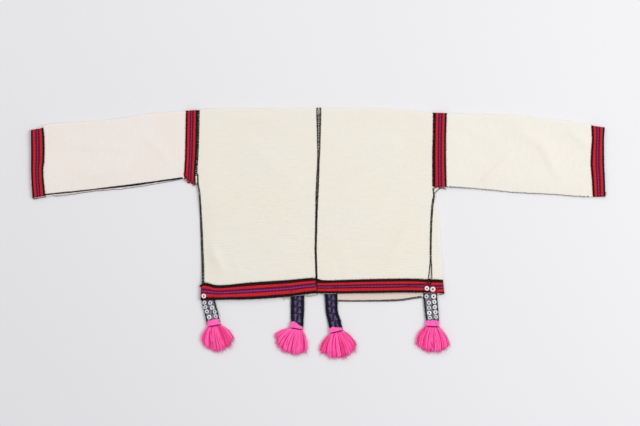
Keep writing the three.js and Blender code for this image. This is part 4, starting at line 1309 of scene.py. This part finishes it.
# The edges of the front opening and the seams, seen from below
UNDERSIDE_SEAMS = (
    Seam(((-0.8, 12), (-5.6, 330), (-6.2, 360)), 0.4, 2.9),
    Seam(((0.9, 12), (6, 100), (14, 200), (23, 300), (28.5, 360)), 2.9, 0.4),
    Seam(((-250.5, 150), (-247, 209), (-244.5, 276), (-242, 345), (-241.5, 360)), 1.8, 1.6),
    Seam(((-250.2, 8), (-250.4, 88), (-251, 134)), 2.4, 1.4),
    Seam(((238.4, 18), (237.8, 88), (238.6, 160)), 1.4, 2.4),
    Seam(((-562, 180), (-467, 168.4), (-388, 159.6), (-286, 145.4)), 1.2, 1.2),
    Seam(((272, 164), (329, 167), (416, 175.4), (475, 178), (568, 183.6)), 1.2, 1.2),
)

STATIONS = 6  # along a stitch
STATIONS_BELOW = 4
STEEPEST = 1.1 * MM  # the most that a stitch falls from one station to the next
CLOTH_FROM = 1 * MM  # a stitch is held by cloth that is higher than this
SIDE_PLACES = 60  # along the side of a band


class Surface:
    """Heights of the finished cloth, tapes and straps."""

    ABOVE = 0.05

    def __init__(self):
        graph = bpy.context.evaluated_depsgraph_get()
        self.trees = []
        for piece in bpy.context.scene.objects:
            if piece.name.endswith(("_cloth", "_tape", "_weave")):
                points = points_of(piece.data)
                self.trees.append((points.min(0), points.max(0), BVHTree.FromObject(piece, graph)))

    def at(self, x, y):
        best = 0.0
        for low, high, tree in self.trees:
            if low[0] <= x <= high[0] and low[1] <= y <= high[1]:
                place = tree.ray_cast(Vector((x, y, self.ABOVE)), Vector((0, 0, -1)))[0]
                if place and place.z > best:
                    best = place.z
        return best


def resampled(line, spacing, rng, jitter=0.12):
    """Places along a line at a spacing, and the line's way at each."""
    line = np.asarray(line, float)
    reach = np.concatenate([[0], np.cumsum(np.linalg.norm(np.diff(line, axis=0), axis=1))])
    count = max(2, int(reach[-1] / spacing))
    places = (np.arange(count) + 0.5) * reach[-1] / count + rng.normal(0, jitter, count) * spacing
    places = np.clip(places, 0, reach[-1])
    points, ahead, back = (
        np.column_stack([np.interp(places + shift, reach, line[:, i]) for i in (0, 1)])
        for shift in (0, 2 * MM, -2 * MM)
    )
    way = ahead - back
    return points, way / np.linalg.norm(way, axis=1, keepdims=True)


def lengths_at(share, side):
    """The lengths at shares of a line, from one length or from rows of a share and a length."""
    places, lengths = zip(*(side if isinstance(side, tuple) else ((0, side),)))
    return np.interp(share, places, [length * MM for length in lengths])


def stitches(surface, line, left, right, rng, spacing=None, slant=0.25, bulge=0.35, below=False):
    """Short threads over a line, each from left to right of it. Where the cloth ends they go round its
    edge. The ones below are pressed into the underside, which lies flat."""
    sewing = settings("sewing")
    spacing = spacing * MM if spacing else sewing.spacing
    points, way = resampled(line, spacing, rng)
    share = np.linspace(0, 1, len(points))
    left, right = lengths_at(share, left), lengths_at(share, right)
    normal = np.column_stack([-way[:, 1], way[:, 0]])
    steps = np.linspace(0, 1, STATIONS)
    wobble = rng.normal(0, 0.12, (len(points), 2)) * spacing
    aside = left[:, None] * (1 - steps) - right[:, None] * steps + wobble[:, :1]
    along = (steps - 0.5) * slant * (left + right)[:, None] + wobble[:, 1:]
    flat = points[:, None] + aside[..., None] * normal[:, None] + along[..., None] * way[:, None]
    height = np.array([[surface.at(x, y) for x, y in thread] for thread in flat])
    held = height.max(1) > CLOTH_FROM
    flat, height = flat[held], height[held]
    for i in range(1, STATIONS):
        height[:, i] = np.maximum(height[:, i], height[:, i - 1] - STEEPEST)
    for i in range(STATIONS - 2, -1, -1):
        height[:, i] = np.maximum(height[:, i], height[:, i + 1] - STEEPEST)
    height += sewing.thickness * 0.3 + bulge * MM * np.sin(np.pi * steps)
    height[:, [0, -1]] -= sewing.thickness * 0.5
    if below:
        height = 0.55 * MM + 0.7 * MM * np.abs(2 * steps - 1) ** 3 + 0 * height
        few = np.linspace(0, STATIONS - 1, STATIONS_BELOW).round().astype(int)
        return np.concatenate([flat, height[..., None]], 2)[:, few]
    return np.concatenate([flat, np.maximum(height, sewing.thickness / 2)[..., None]], 2)


def sew(name, threads, finish="thread", thickness=None):
    """Joins threads into one piece."""
    lines = np.concatenate(threads)
    half = (thickness * MM if thickness else settings("sewing").thickness) / 2
    rng = np.random.default_rng(5)
    piece = tubes(name, lines, half, tone=rng.uniform(0.3, 1, len(lines)))
    return settle(piece, finish)


def garment_line(rows):
    return np.array([placed(x, down) for x, down in rows])


def side_line(node, run, high, inset, aside, ends=(0, 0)):
    """A line along one side of a band, at a distance outside it, that stops short of the band's ends."""
    inset, aside, first, last = (length * MM for length in (inset, aside, *ends))
    sides = Sides(node, run, inset)
    places = np.linspace(sides.start - inset + first, sides.end + inset - last, SIDE_PLACES)
    values = sides.at(places)[1 if high else 0] + (aside if high else -aside)
    values += sway(node, run, places)[1 if high else 0]
    return np.column_stack([values, places] if run else [places, values])


class WOVENTOP_OT_sewing(Operator):
    """Makes the sewing of the seams, tapes, straps, front hem and discs"""

    bl_idname = "woven_top.sewing"
    bl_label = "Sewing"

    def execute(self, context):
        self.surface = Surface()
        self.rng = np.random.default_rng(23)
        sew("centre_seam_sewing", self.seams(CENTRE_SEAMS))
        sew("side_seams_and_fold_shadow_sewing", self.seams(SIDE_SEAMS_AND_FOLD_SHADOW))
        sew("sleeve_seams_sewing", self.sleeves())
        sew("tape_edges_sewing", self.tapes(), "edge_thread", 0.8)
        sew("strap_edges_sewing", self.straps(), thickness=0.8)
        sew("front_hem_sewing", self.seams([FRONT_RIGHT_HEM]))
        sew("shell_sewing", self.knots(), thickness=1.9)
        sew("underside_sewing", self.underside())
        return {"FINISHED"}

    def over(self, line, left, right, **options):
        return stitches(self.surface, line, left, right, self.rng, **options)

    def seams(self, seams, **options):
        threads = []
        for seam in seams:
            line = garment_line(seam.line)
            options.update(spacing=seam.spacing, slant=seam.slant)
            threads.append(self.over(line, seam.left, seam.right, **options))
        return threads

    def sleeves(self):
        """The armhole seams beside the bands, and the seams under the sleeves."""
        left = side_line("armhole_band_left", 1, True, 20, 2.0, ends=(18, 1))
        right = side_line("armhole_band_right", 1, False, 20, 0.8, ends=(2, 1))
        under_right = side_line("sleeve_right", 0, False, 8, -0.6, ends=(28, 32))
        return [
            self.over(left, 2.4, LEFT_ARMHOLE_HALF, spacing=1.5),
            self.over(right, 1.9, 1.6, spacing=1.5),
            *self.seams([LEFT_SLEEVE_SEAM]),
            self.over(under_right, RIGHT_SLEEVE_HALF, 0.5, spacing=2.8),
        ]

    def tapes(self):
        """Small stitches that hold the tapes' edges down, except those of the hidden front left hem."""
        threads = []
        for tape in TAPES:
            if tape.node == "hem_band_front_left":
                continue
            for high in (False, True):
                last = 1 + CUFF_DROP / MM if high and tape.node == "cuff_band_left" else 1
                line = side_line(tape.node, tape.run, high, TAPE_INSET, 0.2, ends=(1, last))
                threads.append(self.over(line, 1.0, 1.0, spacing=2.7, slant=0.2, bulge=0.3))
        return threads + self.seams([CENTRE_TAPE_JOINT])

    def straps(self):
        """Stitches along the straps' edges, and the close ones on the left corner of the hem."""
        threads = []
        for name in STRAPS:
            for high in (False, True):
                line = side_line("strap_" + name, 1, high, STRAP_INSET, 0.1, ends=(-6, 4))
                threads.append(self.over(line, 1.3, 0.8, spacing=2.4, bulge=0.5))
        return threads + self.seams([LEFT_HEM_CORNER])

    def underside(self):
        """The overcast edges of the front opening, the seams and the tapes' edges, seen from below."""
        threads = self.seams(UNDERSIDE_SEAMS, below=True)
        for tape in TAPES:
            for high in (False, True):
                line = side_line(tape.node, tape.run, high, TAPE_INSET, -0.4, ends=(2, 2))
                threads.append(self.over(line, 1.2, 1.2, spacing=2.7, below=True))
        return threads

    def knots(self):
        """Thread that holds each disc, seen in its hole."""
        centres = []
        for node in SHELLS:
            low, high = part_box(node)
            centres.append([(low[0] + high[0]) / 2, (low[1] + high[1]) / 2, high[2] - 0.5 * MM])
        turn = self.rng.uniform(0, math.pi, len(centres))
        way = np.stack([np.cos(turn), np.sin(turn), np.zeros(len(turn))], 1)
        steps = np.linspace(-1, 1, STATIONS)[None, :, None]
        lines = np.array(centres)[:, None] + steps * 1.15 * MM * way[:, None]
        lines[..., 2] -= 0.9 * MM * steps[..., 0] ** 2
        return [lines]


# ---- Frayed ends and edges that peek out ----------------------------------------------------------

# Loose threads: the line that they start on, the angle from straight down that they lie at, how much
# that varies, their number, their longest length in millimetres, and the height that they start at
Fray = namedtuple("Fray", "name start end angle spread count length height finish")
FRAYS = (
    Fray("left_armhole", (-279.5, 137), (-269, 152), -55, 40, 130, 5.5, 6.6, "red_thread"),
    Fray("left_armhole_cream", (-280, 150), (-270, 153.5), -10, 60, 12, 3.2, 4.6, "cream_thread"),
    Fray("left_armhole_low", (-272, 152), (-258, 156.5), 8, 50, 80, 5.5, 2.6, "red_thread"),
    Fray("right_armhole", (245, 164.5), (265, 167.5), 12, 40, 34, 3.4, 3.4, "red_thread"),
    Fray("right_cuff", (596.5, 173), (597.5, 183), 75, 35, 8, 4.6, 3.0, "red_thread"),
    Fray("right_cuff_cream", (594.5, 170), (596.5, 184), 30, 40, 10, 5, 5.2, "cream_thread"),
    Fray("left_cuff", (-596, 186), (-588, 187.5), 10, 45, 12, 2.6, 2.4, "thread"),
    Fray("left_hem", (-75, 396.6), (-6, 388.6), 0, 25, 170, 4.6, 2.6, "cream_thread"),
)
FRAY_THREAD = 0.42 * MM

# The edge of the lower layer that peeks out under the left sleeve
LEFT_SLEEVE_EDGE = (
    (-560, 183.5), (-540, 184), (-516, 180.8), (-480, 175), (-447, 172), (-415, 169.8), (-384, 165.6),
    (-332, 157.2), (-300, 151.5), (-288, 149),
)
# The fold of cloth below the right armhole, along its hidden side and its free edge
RIGHT_FOLD_HIDDEN = ((238.0, 176), (240.0, 170.5), (245, 166.5), (255, 164.5))
RIGHT_FOLD_EDGE = ((239.4, 182), (243.4, 176.2), (248.3, 171.2), (255.5, 167.2))

# A ribbon's section: for each corner its share of the width, and of the height
RIBBON_WIDTH = np.array([0, 0.06, 0.5, 0.94, 1, 0.94, 0.5, 0.06])
RIBBON_HEIGHT = np.array([0.5, 1, 1, 1, 0.5, 0, 0, 0])


def ribbon(name, inner, outer, low, high):
    """A thin strip of cloth with rounded sides, between two lines of points."""
    rings = inner[:, None] + RIBBON_WIDTH[None, :, None] * (outer - inner)[:, None]
    height = np.broadcast_to(low + (high - low) * RIBBON_HEIGHT, rings.shape[:2])
    points = np.concatenate([rings, height[..., None]], 2)
    count, sides = rings.shape[:2]
    faces = [
        (i * sides + j, i * sides + (j + 1) % sides, (i + 1) * sides + (j + 1) % sides, (i + 1) * sides + j)
        for i in range(count - 1)
        for j in range(sides)
    ]
    faces += [tuple(range(sides))[::-1], tuple(range((count - 1) * sides, count * sides))]
    mesh = bpy.data.meshes.new(name)
    mesh.from_pydata(points.reshape(-1, 3).tolist(), [], faces)
    shape = bmesh.new()
    shape.from_mesh(mesh)
    bmesh.ops.recalc_face_normals(shape, faces=shape.faces)
    shape.to_mesh(mesh)
    shape.free()
    piece = add_object(name, mesh)
    pick(piece)
    bpy.ops.object.shade_smooth_by_angle(angle=SMOOTH_BELOW)
    return piece


class WOVENTOP_OT_loose_ends(Operator):
    """Makes the loose threads, the edge under the left sleeve and the fold below the right armhole"""

    bl_idname = "woven_top.loose_ends"
    bl_label = "Loose ends"

    def execute(self, context):
        rng = np.random.default_rng(31)
        for fray in FRAYS:
            lines = self.fray_lines(fray, rng)
            tone = rng.uniform(0, 1, fray.count)
            piece = tubes("fray_" + fray.name, lines, FRAY_THREAD, 4, tone=tone)
            settle(piece, fray.finish)
        self.left_edge(rng)
        self.right_fold()
        return {"FINISHED"}

    def fray_lines(self, fray, rng):
        start, end = placed(*fray.start), placed(*fray.end)
        share = rng.uniform(0, 1, fray.count)[:, None]
        root = start + share * (end - start) + rng.normal(0, 0.3 * MM, (fray.count, 2))
        way = heading(fray.angle + rng.normal(0, fray.spread, fray.count))[0]
        length = rng.uniform(0.4, 1, fray.count)[:, None, None] * fray.length * MM
        steps = np.linspace(0, 1, 6)[None, :, None]
        curl = rng.normal(0, 0.3, (fray.count, 1, 2))
        flat = root[:, None] + length * (steps * way[:, None] + steps ** 2 * curl)
        lift = rng.uniform(-1.2, 0.8, (fray.count, 1)) * MM
        height = fray.height * MM + (lift - fray.height * MM * 0.45) * steps[0, :, 0] ** 1.5
        return np.concatenate([flat, np.maximum(height, 0.45 * MM)[..., None]], 2)

    def left_edge(self, rng):
        """The edge of the lower layer that peeks out under the left sleeve."""
        edge = resampled(garment_line(LEFT_SLEEVE_EDGE), 6 * MM, rng, 0.0)[0]
        edge[:, 1] += rng.normal(0, 0.25 * MM, len(edge))
        low = Sides("sleeve_left", 0, 8 * MM).at(edge[:, 0])[0]
        inner = np.column_stack([edge[:, 0], np.maximum(low - 0.25 * MM, edge[:, 1] + 0.6 * MM)])
        settle(ribbon("sleeve_left_lower_edge", inner, edge, 0.1 * MM, 1.1 * MM), "left")
        self.edge_thread("sleeve_left_lower_thread", edge, 0.9 * MM, 0.5 * MM)

    def right_fold(self):
        """The small fold below the right armhole."""
        hidden, edge = garment_line(RIGHT_FOLD_HIDDEN), garment_line(RIGHT_FOLD_EDGE)
        settle(ribbon("underarm_right_fold", hidden, edge, 0.8 * MM, 2.0 * MM), "body")
        self.edge_thread("underarm_right_thread", edge, 1.9 * MM, 0.8 * MM)

    def edge_thread(self, name, edge, height, half):
        """Thread along the edge of a ribbon."""
        line = np.column_stack([edge, np.full(len(edge), height)])[None]
        settle(tubes(name, line, half), "thread")


# ---- Stage ----------------------------------------------------------------------------------------

VIEW_CENTRE = (0.0042, 0.0424)
SENSOR = 36  # width of the camera's sensor in millimetres
FLOOR_SIZE = 40
FLOOR_TOP = -0.2 * MM
SKY = (0.97, 0.98, 1.0, 1)
SKY_STRENGTH = 0.51

# Wide soft lamps that look at the garment's middle
Lamp = namedtuple("Lamp", "name place size power")
LAMPS = (
    Lamp("soft_key", (2.6, 0.3, 3.2), 2.2, 98),
    Lamp("soft_back", (-1.4, 2.3, 2.6), 2.2, 33),
)


class WOVENTOP_OT_stage(Operator):
    """Makes the floor, the lights and the camera straight above the garment"""

    bl_idname = "woven_top.stage"
    bl_label = "Stage"

    def execute(self, context):
        deselect()
        bpy.ops.mesh.primitive_plane_add(size=FLOOR_SIZE, location=(0, 0, FLOOR_TOP))
        floor = context.object
        floor.name = "floor"
        bpy.ops.object.transform_apply(location=True)
        floor.data.materials.append(finish_of("floor"))
        for lamp in LAMPS:
            self.light(lamp)
        world = bpy.data.worlds.new("studio")
        context.scene.world = world
        world.use_nodes = True
        back = world.node_tree.nodes["Background"]
        back.inputs["Color"].default_value = SKY
        back.inputs["Strength"].default_value = SKY_STRENGTH
        self.camera()
        context.scene.view_settings.view_transform = "Standard"
        return {"FINISHED"}

    def light(self, lamp):
        light = bpy.data.lights.new(lamp.name, "AREA")
        light.size = lamp.size
        light.energy = lamp.power
        holder = add_object(lamp.name, light)
        holder.location = lamp.place
        holder.rotation_euler = (-Vector(lamp.place)).to_track_quat("-Z", "Y").to_euler()

    def camera(self):
        stage = settings("stage")
        camera = bpy.data.cameras.new("overhead")
        camera.sensor_width = SENSOR
        camera.lens = SENSOR * stage.height / stage.width
        holder = add_object("overhead", camera)
        holder.location = (*VIEW_CENTRE, stage.height)
        bpy.context.scene.camera = holder


# ---- Panel and registration -----------------------------------------------------------------------

OPERATORS = (
    WOVENTOP_OT_cloth,
    WOVENTOP_OT_tapes,
    WOVENTOP_OT_straps,
    WOVENTOP_OT_tassels,
    WOVENTOP_OT_shells,
    WOVENTOP_OT_sewing,
    WOVENTOP_OT_loose_ends,
    WOVENTOP_OT_stage,
)


class WOVENTOP_PT_panel(Panel):
    """Lists the settings and the steps that make the garment"""

    bl_idname = "WOVENTOP_PT_panel"
    bl_label = "Woven top"
    bl_space_type = "VIEW_3D"
    bl_region_type = "UI"
    bl_category = "Woven top"

    def draw(self, context):
        for name, group in SETTINGS.items():
            box = self.layout.box()
            box.label(text=name.capitalize())
            for key in group.__annotations__:
                box.prop(settings(name), key)
        for operator in OPERATORS:
            self.layout.operator(operator.bl_idname)


CLASSES = (*SETTINGS.values(), *OPERATORS, WOVENTOP_PT_panel)


def register():
    for made in CLASSES:
        bpy.utils.register_class(made)
    for name, group in SETTINGS.items():
        setattr(bpy.types.Scene, "woven_top_" + name, PointerProperty(type=group))


def unregister():
    for name in SETTINGS:
        delattr(bpy.types.Scene, "woven_top_" + name)
    for made in reversed(CLASSES):
        bpy.utils.unregister_class(made)


def main():
    register()
    for operator in OPERATORS:
        group, name = operator.bl_idname.split(".")
        getattr(getattr(bpy.ops, group), name)()


if __name__ == "__main__":
    main()
